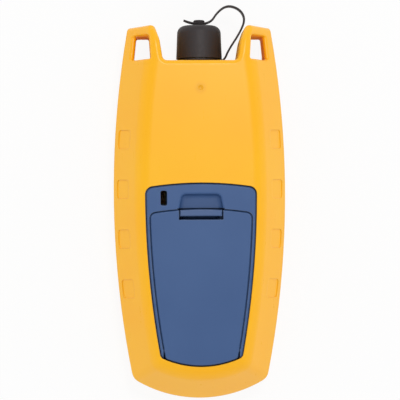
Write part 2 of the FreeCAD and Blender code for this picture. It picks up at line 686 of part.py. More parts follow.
front_panel = new_body("front_panel")
panel_outline = sketch_on(front_panel, "panel_outline", "XY_Plane", "dims.panel_face")
shield(
    panel_outline,
    "dims.panel_inset + 0.2",
    (f"{PANEL_TOP[0]} - 0.2", PANEL_TOP[1], PANEL_TOP[2]),
    (f"{PANEL_BOTTOM[0]} + 0.2", PANEL_BOTTOM[1], PANEL_BOTTOM[2]),
)
pad(front_panel, panel_outline, "dims.panel_back - dims.panel_face - 0.05")
front_holes(front_panel, "panel_holes", "-1", "6")


def key(name, radius, across, along):
    """A rubber key with a bevelled face, a flange behind the case wall and a short plunger."""
    body = new_body(name)
    profile = sketch_on(body, name + "_profile", "XZ_Plane", "0")
    path(profile, (
        ("0", "dims.key_face"),
        (f"{radius} - 0.8", "dims.key_face"),
        (radius, "dims.key_face + 0.8"),
        (radius, "dims.front_wall + 0.25"),
        (f"{radius} + 1.3", "dims.front_wall + 0.25"),
        (f"{radius} + 1.3", "dims.front_wall + 1"),
        ("1.8", "dims.front_wall + 1"),
        ("1.8", "dims.front_wall + 1.15"),
        ("0", "dims.front_wall + 1.15"),
    ))
    turn(body, profile)
    body.Placement.Base = FreeCAD.Vector(number(across), number(along), 0)
    return body


key("power_key", "dims.key_radius", *POWER_KEY)
key("mode_key", "dims.small_key_radius", *MODE_KEY)
for side, across, along in INDICATORS:
    pipe = new_body("indicator_" + side)
    spot = (across, along, "dims.panel_face")
    bar(pipe, "Additive", f"pipe_{side}", "dims.pipe_radius", "7", spot, Z_AXIS)
    bar(pipe, "Additive", f"pipe_flange_{side}", "2.4", "1", (across, along, "dims.front_wall + 0.05"), Z_AXIS)

# Main board with its switches and chip

main_board = new_body("main_board")
board_outline = sketch_on(main_board, "board_outline", "XY_Plane", "dims.board_low")
rectangle(board_outline, "-dims.board_half", "-dims.board_end", "dims.board_half", "dims.board_end")
pad(main_board, board_outline, "dims.board_high - dims.board_low")
board_holes = sketch_on(main_board, "board_holes", "XY_Plane", "dims.board_high + 1")
for across, along in BOARD_SCREWS:
    circle(board_holes, across, along, "1.05")
pocket(main_board, board_holes, "4")
for name, (across, along) in (("power_switch", POWER_KEY), ("mode_switch", MODE_KEY)):
    switch = new_body(name)
    low = (f"{across} - 3", f"{along} - 3", "dims.board_low - 3.4")
    high = (f"{across} + 3", f"{along} + 3", "dims.board_low")
    block(switch, "Additive", name + "_body", low, high)
    bar(switch, "Additive", name + "_stem", "1.7", "0.8", (across, along, "dims.board_low - 4"), Z_AXIS)
driver_chip = new_body("driver_chip")
CHIP_LOW = ("-3.5", "16", "dims.board_high")
CHIP_HIGH = ("3.5", "23", "dims.board_high + 1.2")
block(driver_chip, "Additive", "chip", CHIP_LOW, CHIP_HIGH)

# Optical port, laser and dust cap, all turned about the port's axis


def turned(name, corners):
    """A piece turned about the port's axis. Corners are (radius, along Y) expressions."""
    body = new_body(name)
    profile = sketch_on(body, name + "_profile", "XY_Plane", "0")
    path(profile, corners)
    turn(body, profile)
    body.Placement.Base = FreeCAD.Vector(0, 0, number("dims.parting"))
    return body


turned("laser_holder", (
    ("dims.diode_bore", "dims.holder_low"),
    ("dims.holder_radius", "dims.holder_low"),
    ("dims.holder_radius", "dims.holder_high"),
    ("dims.neck_radius + 0.05", "dims.holder_high"),
    ("dims.neck_radius + 0.05", "dims.neck_low - 0.2"),
    ("dims.holder_bore", "dims.neck_low - 0.2"),
    ("dims.holder_bore", "dims.diode_room"),
    ("dims.diode_bore", "dims.diode_room"),
))
laser_diode = turned("laser_diode", (
    ("0", "dims.holder_low + 0.2"),
    ("dims.diode_flange", "dims.holder_low + 0.2"),
    ("dims.diode_flange", "dims.holder_low + 1.4"),
    ("dims.diode_can", "dims.holder_low + 1.4"),
    ("dims.diode_can", "dims.diode_room - 1.1"),
    ("0", "dims.diode_room - 1.1"),
))
DIODE_LEADS = (("-1.2", "-0.7"), ("1.2", "-0.7"), ("0", "1.3"))
for index, (across, up) in enumerate(DIODE_LEADS, start=1):
    bar(laser_diode, "Additive", f"diode_lead_{index}", "dims.diode_lead", "9", (across, "28", up), Y_AXIS)
LENS_CURVE = "(dims.lens_radius ^ 2 + dims.lens_bulge ^ 2) / (2 * dims.lens_bulge)"
turned("focus_lens", (
    ("0", "dims.lens_low - dims.lens_bulge", LENS_CURVE),
    ("dims.lens_radius", "dims.lens_low"),
    ("dims.lens_radius", "dims.lens_high", LENS_CURVE),
    ("0", "dims.lens_high + dims.lens_bulge"),
))
turned("port_barrel", (
    ("dims.port_stop", "dims.neck_low"),
    ("dims.neck_radius", "dims.neck_low"),
    ("dims.neck_radius", "dims.deck + 0.05"),
    ("dims.barrel_radius", "dims.deck + 0.05"),
    ("dims.barrel_radius", "dims.collar_top - 0.6"),
    ("dims.barrel_radius - 0.6", "dims.collar_top"),
    ("dims.nose_radius", "dims.collar_top"),
    ("dims.nose_radius", "dims.nose_top - 0.4"),
    ("dims.nose_radius - 0.4", "dims.nose_top"),
    ("dims.sleeve_room", "dims.nose_top"),
    ("dims.sleeve_room", "dims.sleeve_seat"),
    ("dims.port_stop", "dims.sleeve_seat"),
))
turned("port_sleeve", (
    ("dims.sleeve_bore", "dims.sleeve_seat + 0.1"),
    ("dims.sleeve_room - 0.03", "dims.sleeve_seat + 0.1"),
    ("dims.sleeve_room - 0.03", "dims.sleeve_top"),
    ("dims.sleeve_bore", "dims.sleeve_top"),
))
turned("port_nut", (
    ("dims.neck_radius + 0.02", "dims.nut_low"),
    ("dims.nut_radius", "dims.nut_low"),
    ("dims.nut_radius", "dims.deck - dims.wall - 0.05"),
    ("dims.neck_radius + 0.02", "dims.deck - dims.wall - 0.05"),
))
turned("dust_cap", (
    ("0", "dims.cap_ceiling"),
    ("dims.cap_bore", "dims.cap_ceiling"),
    ("dims.cap_bore", "dims.cap_rim"),
    ("dims.cap_rim_radius", "dims.cap_rim"),
    ("dims.cap_top_radius", "dims.cap_top - dims.cap_round", "dims.cap_round"),
    ("dims.cap_top_radius - dims.cap_round", "dims.cap_top"),
    ("dims.knob_stem", "dims.cap_top"),
    ("dims.knob_stem", "dims.strap_level + 0.65"),
    ("dims.knob_radius", "dims.strap_level + 0.65"),
    ("dims.knob_radius", "dims.knob_top - 0.4"),
    ("dims.knob_radius - 0.4", "dims.knob_top"),
    ("0", "dims.knob_top"),
))

# Tether: a ring round the port's collar, a flat strap that loops over to the knob, and a short tail

STRAP_POINTS = (
    (9.3, 65.5), (11.1, 65.5), (13.0, 70.2), (18.2, 78.0), (20.6, 84.0), (18.0, 88.4), (12.6, 90.1),
    (8.2, 87.1), (4.9, 81.85), (-3.6, 81.85), (-6.8, 83.4),
)


def rounded_route(points):
    """Corners for path(): straight runs joined by arcs that touch both. Prints the bend radii."""
    spots = [FreeCAD.Vector(across, along, 0) for across, along in points]
    corners = [(spots[0].x, spots[0].y)]
    radii = []
    for before, here, after in zip(spots, spots[1:], spots[2:]):
        coming = (here - before).normalize()
        going = (after - here).normalize()
        cut = 0.45 * min((here - before).Length, (after - here).Length)
        half_turn = coming.getAngle(going) / 2
        radius = cut / math.tan(half_turn)
        left = coming.x * going.y - coming.y * going.x > 0
        start = here - coming * cut
        end = here + going * cut
        corners.append((start.x, start.y, radius if left else -radius))
        corners.append((end.x, end.y))
        radii.append(round(radius, 2))
    corners.append((spots[-1].x, spots[-1].y))
    print("strap bend radii", radii)
    return corners


cap_tether = new_body("cap_tether")
strap_route = sketch_on(cap_tether, "strap_route", "XY_Plane", "0")
path(strap_route, rounded_route(STRAP_POINTS), closed=False)
strap_section = sketch_on(cap_tether, "strap_section", "YZ_Plane", "9.3")
half = "dims.strap_thickness / 2"
rectangle(strap_section, f"dims.ring_level - {half}", "-dims.strap_width / 2",
          f"dims.ring_level + {half}", "dims.strap_width / 2")
strap = cap_tether.newObject("PartDesign::AdditivePipe", "strap")
strap.Profile = strap_section
strap.Spine = (strap_route, [f"Edge{index}" for index in range(1, len(strap_route.Geometry) + 1)])
doc.recompute()
for kind, name, radius, height, low in (
    ("Additive", "eyelet", "3.1", "dims.strap_thickness", f"dims.strap_level - {half}"),
    ("Subtractive", "eyelet_hole", "dims.knob_stem + 0.2", "3", "dims.strap_level - 1.5"),
    ("Additive", "ring", "9.8", "1.1", "dims.ring_level - 0.55"),
    ("Subtractive", "ring_hole", "dims.barrel_radius + 0.1", "2", "dims.ring_level - 1"),
):
    bar(cap_tether, kind, name, radius, height, ("0", low, "0"), Y_AXIS)
cap_tether.Placement.Base = FreeCAD.Vector(0, 0, number("dims.parting"))

# Battery bay: a frame in the back face with a tray below it

battery_bay = new_body("battery_bay")
bay_block = sketch_on(battery_bay, "bay_block", "XY_Plane", "dims.bay_base")
shield(
    bay_block,
    "dims.bay_inset - dims.bay_flange",
    [size + " + dims.bay_flange" for size in BAY_TOP],
    [f"{BAY_BOTTOM[0]} - dims.bay_flange"] + [size + " + dims.bay_flange" for size in BAY_BOTTOM[1:]],
)
pad(battery_bay, bay_block, "dims.bay_plate - dims.bay_base")
bay_frame = sketch_on(battery_bay, "bay_frame", "XY_Plane", "dims.bay_plate")
shield(
    bay_frame,
    "dims.bay_inset",
    BAY_TOP,
    BAY_BOTTOM,
)
pad(battery_bay, bay_frame, "dims.case_depth - dims.bay_plate")
bevel(battery_bay, "bay_frame_bevel", "dims.lid_bevel", on_back)
door_seat = sketch_on(battery_bay, "door_seat", "XY_Plane", "dims.case_depth + 1")
shield(
    door_seat,
    "dims.door_inset - dims.door_gap",
    ("dims.door_gap", "dims.door_top_radius + dims.door_gap", "dims.door_corner + dims.door_gap"),
    ("dims.bay_bottom - 1", "dims.bay_bottom_radius + 1", "1"),
)
pocket(battery_bay, door_seat, "dims.case_depth - dims.door_under + 1.1")
finger_scoop = sketch_on(battery_bay, "finger_scoop", "XY_Plane", "dims.case_depth + 1")
path(finger_scoop, (
    ("-dims.scoop_base", "-1"),
    ("dims.scoop_base", "-1"),
    ("dims.scoop_crest", "dims.scoop_top"),
    ("-dims.scoop_crest", "dims.scoop_top"),
))
pocket(battery_bay, finger_scoop, "dims.scoop_depth + 1")
scoop_floor = number("dims.case_depth - dims.scoop_depth")
soften(battery_bay, "scoop_corners", "dims.scoop_corner",
       lambda edge: edge.BoundBox.ZLength > 2.5 and abs(middle(edge).y - number("dims.scoop_top")) < 0.01
       and abs(abs(middle(edge).x) - number("dims.scoop_crest")) < 0.01)
soften(battery_bay, "scoop_bed", "dims.scoop_bed",
       lambda edge: edge.BoundBox.ZLength < 0.01 and abs(middle(edge).z - scoop_floor) < 0.01
       and middle(edge).y > number("dims.scoop_top") - 0.1)
soften(battery_bay, "scoop_round", "dims.scoop_lip",
       lambda edge: on_back(edge) and abs(middle(edge).x) < number("dims.scoop_base")
       and 1 < middle(edge).y < number("dims.scoop_top") + 0.1)
BAY_CUTS = (
    ("cell_room", ("-15.3", "-62", "dims.bay_floor"), ("15.3", "-6.3", "40")),
    ("latch_room", ("-10.2", "-6.5", "dims.fold_height - 2.2"), ("10.2", "dims.door_gap", "40")),
    ("lip_room", ("-16.5", "-72", "28.4"), ("16.5", "-63", "40")),
    ("lug_room", ("-16.5", "-63.1", "30.6"), ("16.5", "-57", "40")),
    ("band_hollow", ("-21", "2", "17"), ("21", "9.3", "dims.band_under")),
)
for name, low, high in BAY_CUTS:
    block(battery_bay, "Subtractive", name, low, high)
frame_slot = sketch_on(battery_bay, "frame_slot", "XY_Plane", "dims.case_depth + 1")
rounded_rectangle(frame_slot, "dims.slot_left", "dims.slot_low", "dims.slot_right", "dims.slot_high",
                  "dims.slot_corner")
pocket(battery_bay, frame_slot, "dims.case_depth - dims.band_under + 2")
for side, start in (("left", "-17.35"), ("right", "16.2")):
    spot = (start, "dims.hinge_along", "dims.hinge_height")
    bar(battery_bay, "Subtractive", "pivot_socket_" + side, "dims.socket_radius", "1.15", spot, X_AXIS)
for index, (across, along) in enumerate(CASE_SCREWS, start=1):
    well = "2.6" if index < 3 else "2.15"
    bar(battery_bay, "Subtractive", f"screw_well_{index}", well, "18", (across, along, "22"), Z_AXIS)
    bar(battery_bay, "Subtractive", f"screw_hole_{index}", "1.3", "10", (across, along, "15"), Z_AXIS)

# Battery door with pivots at its lower corners, and the latch on a spring fold that the two share

FOLD_ALONG = "(dims.latch_low + dims.window_low) / 2"
FOLD_INSIDE = "(dims.latch_low - dims.window_low) / 2"
battery_door = new_body("battery_door")
door_panel = sketch_on(battery_door, "door_panel", "XY_Plane", "dims.door_under")
shield(
    door_panel,
    "dims.door_inset",
    ("0", "dims.door_top_radius", "dims.door_corner"),
    ("dims.bay_bottom", "dims.bay_bottom_radius", "1.5"),
)
pad(battery_door, door_panel, "dims.case_depth - dims.door_under")
bevel(battery_door, "door_bevel", "dims.lid_bevel", on_back)
block(battery_door, "Subtractive", "latch_window",
      ("-dims.latch_window", "dims.window_low", "dims.door_under - 1"), ("dims.latch_window", "5", "40"))
block(battery_door, "Additive", "fold_leg",
      ("-dims.fold_half", "dims.window_low - dims.fold_wall", "dims.fold_height"),
      ("dims.fold_half", "dims.window_low", "dims.door_under + 0.5"))
bar(battery_door, "Additive", "fold_bend", f"{FOLD_INSIDE} + dims.fold_wall", "2 * dims.fold_half",
    ("-dims.fold_half", FOLD_ALONG, "dims.fold_height"), X_AXIS)
block(battery_door, "Subtractive", "fold_open",
      ("-dims.fold_half - 1", "dims.window_low", "dims.fold_height"), ("dims.fold_half + 1", "0", "34"))
bar(battery_door, "Subtractive", "fold_inside", FOLD_INSIDE, "2 * dims.fold_half + 2",
    ("-dims.fold_half - 1", FOLD_ALONG, "dims.fold_height"), X_AXIS)
for side, lug, pivot in (("left", "-16", "-17.15"), ("right", "13.2", "15.9")):
    pins = (("lug", "1.4", "2.8", lug), ("pivot", "dims.pivot_radius", "1.25", pivot))
    for name, radius, length, start in pins:
        spot = (start, "dims.hinge_along", "dims.hinge_height")
        bar(battery_door, "Additive", f"{name}_{side}", radius, length, spot, X_AXIS)

door_latch = new_body("door_latch")
latch_tab = sketch_on(door_latch, "latch_tab", "XY_Plane", "dims.door_under")
sag = "dims.latch_half * dims.latch_half / dims.door_top_radius / 2"
path(latch_tab, (
    ("-dims.latch_half", "dims.latch_low"),
    ("dims.latch_half", "dims.latch_low"),
    ("dims.latch_half", f"-({sag})", "dims.door_top_radius"),
    ("-dims.latch_half", f"-({sag})"),
))
pad(door_latch, latch_tab, "dims.case_depth - dims.door_under")
bevel(door_latch, "latch_bevel", "dims.lid_bevel", on_back)
LEG_FACE = "dims.latch_low + dims.fold_wall"
block(door_latch, "Additive", "latch_leg",
      ("-dims.fold_half", "dims.latch_low", "dims.fold_height + 0.05"),
      ("dims.fold_half", LEG_FACE, "dims.door_under + 0.5"))
bar(door_latch, "Additive", "catch_bead", "0.45", "14", ("-7", f"{LEG_FACE} - 0.1", "33"), X_AXIS)

# Cells, springs and contact plates

CELL_ENDS = (("left", "-57.4", 1), ("right", "-10.9", -1))
for side, along, way in CELL_ENDS:
    cell = new_body("cell_" + side)
    profile = sketch_on(cell, f"cell_{side}_profile", "XY_Plane", "0")
    path(profile, (
        ("0", "0"),
        ("dims.cell_radius - 0.4", "0"),
        ("dims.cell_radius", "0.4"),
        ("dims.cell_radius", "dims.cell_length - 1.7"),
        ("dims.cell_radius - 0.4", "dims.cell_length - 1.3"),
        ("2.75", "dims.cell_length - 1.3"),
        ("2.75", "dims.cell_length"),
        ("0", "dims.cell_length"),
    ))
    turn(cell, profile)
    spot = FreeCAD.Vector(-way * number("dims.cell_spacing"), number(along), number("dims.cell_height"))
    cell.Placement = FreeCAD.Placement(spot, FreeCAD.Rotation(Z_AXIS, 0 if way > 0 else 180))

SPRINGS = (("left", -1, -61.55), ("right", 1, -10.45))
for side, way, along in SPRINGS:
    helix = doc.addObject("Part::Helix", f"spring_{side}_line")
    helix.setExpression("Pitch", "dims.spring_pitch")
    helix.setExpression("Height", "dims.spring_pitch * 3")
    helix.setExpression("Radius", "dims.spring_radius")
    wire = doc.addObject("Part::RegularPolygon", f"spring_{side}_wire")
    wire.Polygon = 6
    wire.setExpression("Circumradius", "dims.spring_wire")
    coil = FreeCAD.Vector(number("dims.spring_radius"), 0, 0)
    wire.Placement = FreeCAD.Placement(coil, FreeCAD.Rotation(X_AXIS, 90))
    spring = doc.addObject("Part::Sweep", "spring_" + side)
    spring.Sections = [wire]
    spring.Spine = (helix, ["Edge1"])
    spring.Solid = True
    spring.Frenet = True
    spot = FreeCAD.Vector(way * number("dims.cell_spacing"), along, number("dims.cell_height"))
    spring.Placement = FreeCAD.Placement(spot, FreeCAD.Rotation(Z_AXIS, Y_AXIS))
    spring.Label = "spring_" + side
    doc.recompute()

for side, centre, low, high in (
    ("left", "-dims.cell_spacing", "-6.85", "-6.35"),
    ("right", "dims.cell_spacing", "-61.95", "-61.45"),
):
    plate = new_body("plate_" + side)
    sheet_low = (f"{centre} - 5", low, "21")
    sheet_high = (f"{centre} + 5", high, "30")
    block(plate, "Additive", f"plate_{side}_sheet", sheet_low, sheet_high)

# Screws

for name, spots, head, head_low, head_high, shank, shank_low in (
    ("case_screws", CASE_SCREWS, "2", "22.05", "23.7", "1.05", "8"),
    ("board_screws", BOARD_SCREWS, "1.8", "dims.board_high + 0.05", "dims.board_high + 1.3", "0.9", "5"),
):
    screws = []
    for index, (across, along) in enumerate(spots, start=1):
        shaft = doc.addObject("Part::Cylinder", f"{name}_shaft_{index}")
        top = doc.addObject("Part::Cylinder", f"{name}_head_{index}")
        for item, radius, low, high in ((shaft, shank, shank_low, head_low), (top, head, head_low, head_high)):
            item.setExpression("Radius", radius)
            item.setExpression("Height", f"({high}) - ({low})")
            item.Placement.Base = FreeCAD.Vector(number(across), number(along), number(low))
        screw = doc.addObject("Part::Fuse", f"{name}_{index}")
        screw.Base = shaft
        screw.Tool = top
        screws.append(screw)
    group = doc.addObject("Part::Compound", name)
    group.Links = screws
    group.Label = name

# Check every object and write the nodes

doc.recompute()
nodes = [item for item in doc.Objects if item.TypeId in ("PartDesign::Body", "Part::Compound")]
nodes += [item for item in doc.Objects if item.TypeId == "Part::Sweep"]
for item in doc.Objects:
    if "Invalid" in item.State or "Error" in item.State:
        raise RuntimeError(f"{item.Name} did not build: {item.State}")
for node in nodes:
    if node.Shape.isNull() or not node.Shape.isValid():
        raise RuntimeError(f"{node.Label} has no valid shape")
    node.Shape.exportStep(f"parts/{node.Label}.step")
print(len(nodes), "nodes written")
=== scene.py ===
import math

import bpy
import numpy as np
from mathutils import Matrix, Vector


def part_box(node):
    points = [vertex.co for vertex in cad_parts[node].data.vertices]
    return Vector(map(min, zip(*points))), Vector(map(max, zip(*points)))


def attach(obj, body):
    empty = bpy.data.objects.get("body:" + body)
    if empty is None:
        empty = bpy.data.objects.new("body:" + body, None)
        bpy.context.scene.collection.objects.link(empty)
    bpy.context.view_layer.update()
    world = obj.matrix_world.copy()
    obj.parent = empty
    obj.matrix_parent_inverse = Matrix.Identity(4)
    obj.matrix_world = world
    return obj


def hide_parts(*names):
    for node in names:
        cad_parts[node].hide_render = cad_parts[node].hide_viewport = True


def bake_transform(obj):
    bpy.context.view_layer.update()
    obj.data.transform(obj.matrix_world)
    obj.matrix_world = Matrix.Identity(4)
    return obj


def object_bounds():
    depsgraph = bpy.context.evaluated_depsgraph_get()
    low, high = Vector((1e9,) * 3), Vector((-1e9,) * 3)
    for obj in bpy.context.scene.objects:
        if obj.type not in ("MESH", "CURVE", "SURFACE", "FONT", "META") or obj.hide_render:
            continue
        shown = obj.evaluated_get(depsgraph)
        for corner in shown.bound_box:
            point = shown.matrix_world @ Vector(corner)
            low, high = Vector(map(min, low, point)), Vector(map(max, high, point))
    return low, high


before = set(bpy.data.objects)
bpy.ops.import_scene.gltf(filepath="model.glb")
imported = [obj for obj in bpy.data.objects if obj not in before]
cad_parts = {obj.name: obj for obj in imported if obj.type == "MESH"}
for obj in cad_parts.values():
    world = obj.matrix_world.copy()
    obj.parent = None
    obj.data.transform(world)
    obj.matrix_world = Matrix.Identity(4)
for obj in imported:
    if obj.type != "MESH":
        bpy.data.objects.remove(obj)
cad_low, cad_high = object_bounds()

bl_info = {
    "name": "Fibre fault locator",
    "version": (1, 0, 0),
    "blender": (4, 5, 0),
    "location": "View3D > Sidebar > Fault locator",
    "description": "Finishes, soft pieces and stage for a handheld fibre fault locator",
    "category": "Object",
}

# Places in the frame, metres. X is across the case, Y towards the port, Z out of the back.
PORT_HEIGHT = sum(corner.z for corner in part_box("dust_cap")) / 2
STRAP_ROUTE = (
    (0.0093, 0.0655), (0.0111, 0.0655), (0.0130, 0.0702), (0.0182, 0.0780),
    (0.0206, 0.0840), (0.0180, 0.0884), (0.0126, 0.0901), (0.0082, 0.0871),
    (0.0049, 0.08185), (-0.0036, 0.08185), (-0.0068, 0.0834),
)
KNOB_LEVEL = STRAP_ROUTE[-2][1]
GATE = (0.0, 0.0525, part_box("rear_case")[1].z)

# Screws by node: their places, the height of the seat under the head, and the radii of shank and head.
SCREWS = {
    "case_screws": (
        ((-0.0188, -0.0045), (0.0188, -0.0045), (-0.007, -0.065), (0.007, -0.065)),
        0.02205, 0.00105, 0.002,
    ),
    "board_screws": (
        ((-0.0125, -0.046), (0.0125, -0.046), (-0.0125, 0.046), (0.0125, 0.046)),
        0.01065, 0.0009, 0.0018,
    ),
}


def display(red, green, blue):
    """A display colour, 0 to 255, as the linear colour with full alpha that a colour socket takes."""
    shares = np.array((red, green, blue)) / 255
    linear = np.where(shares <= 0.04045, shares / 12.92, ((shares + 0.055) / 1.055) ** 2.4)
    return (*linear.tolist(), 1.0)


def colour(label, description, *shade):
    """A colour that a user would change."""
    return bpy.props.FloatVectorProperty(
        name=label, description=description, subtype="COLOR", size=4, min=0, max=1, default=display(*shade)
    )


def length(label, description, size):
    """A length in metres that a user would change."""
    return bpy.props.FloatProperty(
        name=label, description=description, unit="LENGTH", precision=5, default=size
    )


def angle(label, description, degrees):
    """An angle that a user would change, given in degrees."""
    return bpy.props.FloatProperty(
        name=label, description=description, subtype="ANGLE", default=math.radians(degrees)
    )


def number(label, description, value):
    """A plain number that a user would change."""
    return bpy.props.FloatProperty(name=label, description=description, default=value)


class CaseSettings(bpy.types.PropertyGroup):
    """Finish of the moulded case, the battery bay and the front."""

    shell: colour("Shell", "Colour of the moulded case", 252, 185, 10)
    shell_tint: colour("Shell tint", "Tone that the case drifts towards", 252, 180, 6)
    bay: colour("Bay", "Colour of the battery bay and its door", 58, 88, 135)
    bay_tint: colour("Bay tint", "Tone that the bay drifts towards", 53, 83, 130)
    # Painted highlight: the latch is lighter and greyer than the bay for the light on its convex tab.
    latch: colour("Latch", "Colour of the door's latch", 75, 95, 133)
    key: colour("Keys", "Colour of the rubber keys", 38, 39, 42)
    grain: length("Grain", "Width of one grain of the moulded surface", 0.00035)
    edge: length("Edge", "Rounding of the moulded edges", 0.00035)
    bay_edge: length("Bay edge", "Rounding of the edges of the battery bay and its door", 0.0005)
    # Painted shade: the darker spot stands for the shade in the dimple of the mould's gate.
    gate: length("Gate mark", "Radius of the darker spot where the plastic entered the mould", 0.0032)


class TetherSettings(bpy.types.PropertyGroup):
    """Sizes and colour of the dust cap's tether."""

    rubber: colour("Rubber", "Colour of the cap and its tether", 39, 33, 35)
    width: length("Strap width", "Flat strap, across", 0.004)
    thickness: length("Strap thickness", "Flat strap, through", 0.0009)
    eyelet: length("Eyelet", "Radius of the strap's eye round the knob", 0.0031)
    ring: length("Ring", "Height of the ring round the port", 0.0011)
    room: length("Room", "Room between the ring and the port", 0.0001)


class CellSettings(bpy.types.PropertyGroup):
    """Film of the cells and wire of their springs."""

    film: colour("Film", "Colour of the cells' printed film", 40, 42, 47)
    band: colour("Band", "Colour of the band at the plus end", 186, 190, 194)
    band_length: length("Band length", "Length of the band at the plus end", 0.014)
    wire: length("Wire", "Radius of the springs' wire", 0.00033)
    turns: bpy.props.IntProperty(name="Turns", description="Turns of each contact spring", default=4, min=1)


class StageSettings(bpy.types.PropertyGroup):
    """Camera and light."""

    distance: length("Camera distance", "From the back face to the camera", 0.735)
    field: angle("Field of view", "Width of the picture as an angle", 13.38)
    side: angle("Side view", "How far the camera stands to the left", 2.0)
    roll: angle("Roll", "Turn of the picture", 0.25)
    aim_across: length("Aim across", "Middle of the picture, across the case", -0.0005)
    aim_along: length("Aim along", "Middle of the picture, along the case", 0.0040)
    surround: number("Surround", "Strength of the white surround overhead", 0.53)
    horizon: number("Horizon", "Strength that the surround gains towards the horizon", 1.1)
    key_light: number("Key light", "Power of the lamp overhead, watts", 2.45)
    lamp_size: length("Lamp size", "Side of the square lamp overhead", 0.2)
    lamp_place: bpy.props.FloatVectorProperty(
        name="Lamp place", description="Where the lamp hangs", subtype="TRANSLATION", unit="LENGTH",
        default=(0.10, 0.30, 0.90),
    )


class FaultLocatorSettings(bpy.types.PropertyGroup):
    """Everything that a user would change."""

    case: bpy.props.PointerProperty(name="Case", description="Finish of the case", type=CaseSettings)
    tether: bpy.props.PointerProperty(name="Tether", description="Sizes of the tether", type=TetherSettings)
    cells: bpy.props.PointerProperty(name="Cells", description="Cells and springs", type=CellSettings)
    stage: bpy.props.PointerProperty(name="Stage", description="Camera and light", type=StageSettings)


# Nodes and node groups

def put(tree, kind, inputs=None, **settings):
    """Add a shader node. Settings are its own properties; inputs are values or sockets to link from."""
    made = tree.nodes.new("ShaderNode" + kind)
    for key, value in settings.items():
        setattr(made, key, value)
    for key, value in (inputs or {}).items():
        if isinstance(value, bpy.types.NodeSocket):
            tree.links.new(value, made.inputs[key])
        else:
            made.inputs[key].default_value = value
    return made


def mixed(tree, share, first, second):
    """The colour a share of the way from the first colour to the second."""
    made = put(tree, "Mix", {0: share, 6: first, 7: second}, data_type="RGBA")
    return made.outputs[2]


def ranged(tree, value, low, high, to_low, to_high):
    """A value carried from one range to another, and held inside it."""
    made = put(tree, "MapRange", {"Value": value, 1: low, 2: high, 3: to_low, 4: to_high})
    return made.outputs[0]


def maths(tree, operation, first, second=0.0, third=0.0):
    """One sum on values."""
    return put(tree, "Math", {0: first, 1: second, 2: third}, operation=operation).outputs[0]


def noise(tree, place, scale, detail=2.0, roughness=0.5):
    """Noise at a scale per metre."""
    made = put(tree, "TexNoise", {
        "Vector": place, "Scale": scale, "Detail": detail, "Roughness": roughness,
    })
    return made.outputs[0]


def new_group(name, inputs, outputs):
    """A shader node group with named sockets, and its input and output nodes."""
    group = bpy.data.node_groups.new(name, "ShaderNodeTree")
    for label, kind, value in inputs:
        socket = group.interface.new_socket(label, in_out="INPUT", socket_type="NodeSocket" + kind)
        socket.default_value = value
    for label, kind in outputs:
        group.interface.new_socket(label, in_out="OUTPUT", socket_type="NodeSocket" + kind)
    return group, group.nodes.new("NodeGroupInput"), group.nodes.new("NodeGroupOutput")


def grain_group():
    """Fine pebbled grain of a moulded or rubber surface, with a slow drift of tone and a few scuffs."""
    group, start, end = new_group(
        "Moulded grain",
        (("Grain", "Float", 0.0005), ("Drift", "Float", 0.03)),
        (("Height", "Float"), ("Tone", "Float"), ("Scuff", "Float")),
    )
    place = put(group, "TexCoord").outputs["Object"]
    fine = noise(group, place, maths(group, "DIVIDE", 1.0, start.outputs["Grain"]), 3.0, 0.6)
    pebble_scale = maths(group, "DIVIDE", 0.6, start.outputs["Grain"])
    pebbles = put(group, "TexVoronoi", {"Vector": place, "Scale": pebble_scale}, feature="SMOOTH_F1")
    rise = maths(group, "MULTIPLY", pebbles.outputs["Distance"], 0.4)
    height = maths(group, "ADD", maths(group, "MULTIPLY", fine, 0.6), rise)
    group.links.new(height, end.inputs["Height"])
    drift = noise(group, place, maths(group, "DIVIDE", 1.0, start.outputs["Drift"]), 2.0, 0.5)
    group.links.new(ranged(group, drift, 0.3, 0.7, 0.0, 1.0), end.inputs["Tone"])
    stretched = put(group, "Mapping", {
        "Vector": place, "Rotation": (0.0, 0.0, 0.7), "Scale": (900.0, 60.0, 300.0),
    })
    scratch = noise(group, stretched.outputs[0], 1.0, 2.0, 0.6)
    group.links.new(ranged(group, scratch, 0.62, 0.75, 0.0, 1.0), end.inputs["Scuff"])
    return group


def edge_group():
    """Normals rounded over sharp edges, and a mask of those edges broken up as wear is, which carries both
    wear and painted edge highlights.
    """
    group, start, end = new_group(
        "Rounded edge",
        (("Radius", "Float", 0.0003), ("Wear Size", "Float", 0.004)),
        (("Normal", "Vector"), ("Edge", "Float")),
    )
    bevel = put(group, "Bevel", {"Radius": start.outputs["Radius"]}, samples=6)
    group.links.new(bevel.outputs[0], end.inputs["Normal"])
    flat = put(group, "NewGeometry").outputs["Normal"]
    facing = put(group, "VectorMath", {0: bevel.outputs[0], 1: flat}, operation="DOT_PRODUCT")
    turn = ranged(group, facing.outputs["Value"], 0.75, 0.98, 1.0, 0.0)
    place = put(group, "TexCoord").outputs["Object"]
    broken = noise(group, place, maths(group, "DIVIDE", 1.0, start.outputs["Wear Size"]), 3.0, 0.6)
    kept = ranged(group, broken, 0.35, 0.6, 0.2, 1.0)
    group.links.new(maths(group, "MULTIPLY", turn, kept), end.inputs["Edge"])
    return group


def lathe_group():
    """Fine rings left by turning a piece about the Y axis, as a height and a change of gloss."""
    group, start, end = new_group(
        "Turned rings", (("Spacing", "Float", 0.00015),), (("Height", "Float"), ("Gloss", "Float"))
    )
    place = put(group, "TexCoord").outputs["Object"]
    along = put(group, "SeparateXYZ", {0: place}).outputs["Y"]
    steps = maths(group, "DIVIDE", along, start.outputs["Spacing"])
    line = put(group, "CombineXYZ", {"Y": steps}).outputs[0]
    group.links.new(noise(group, line, 1.0, 1.0), end.inputs["Height"])
    group.links.new(noise(group, place, 400.0, 3.0), end.inputs["Gloss"])
    return group


def shared(name, make):
    """A node group by name, made the first time it is asked for."""
    return bpy.data.node_groups.get(name) or make()


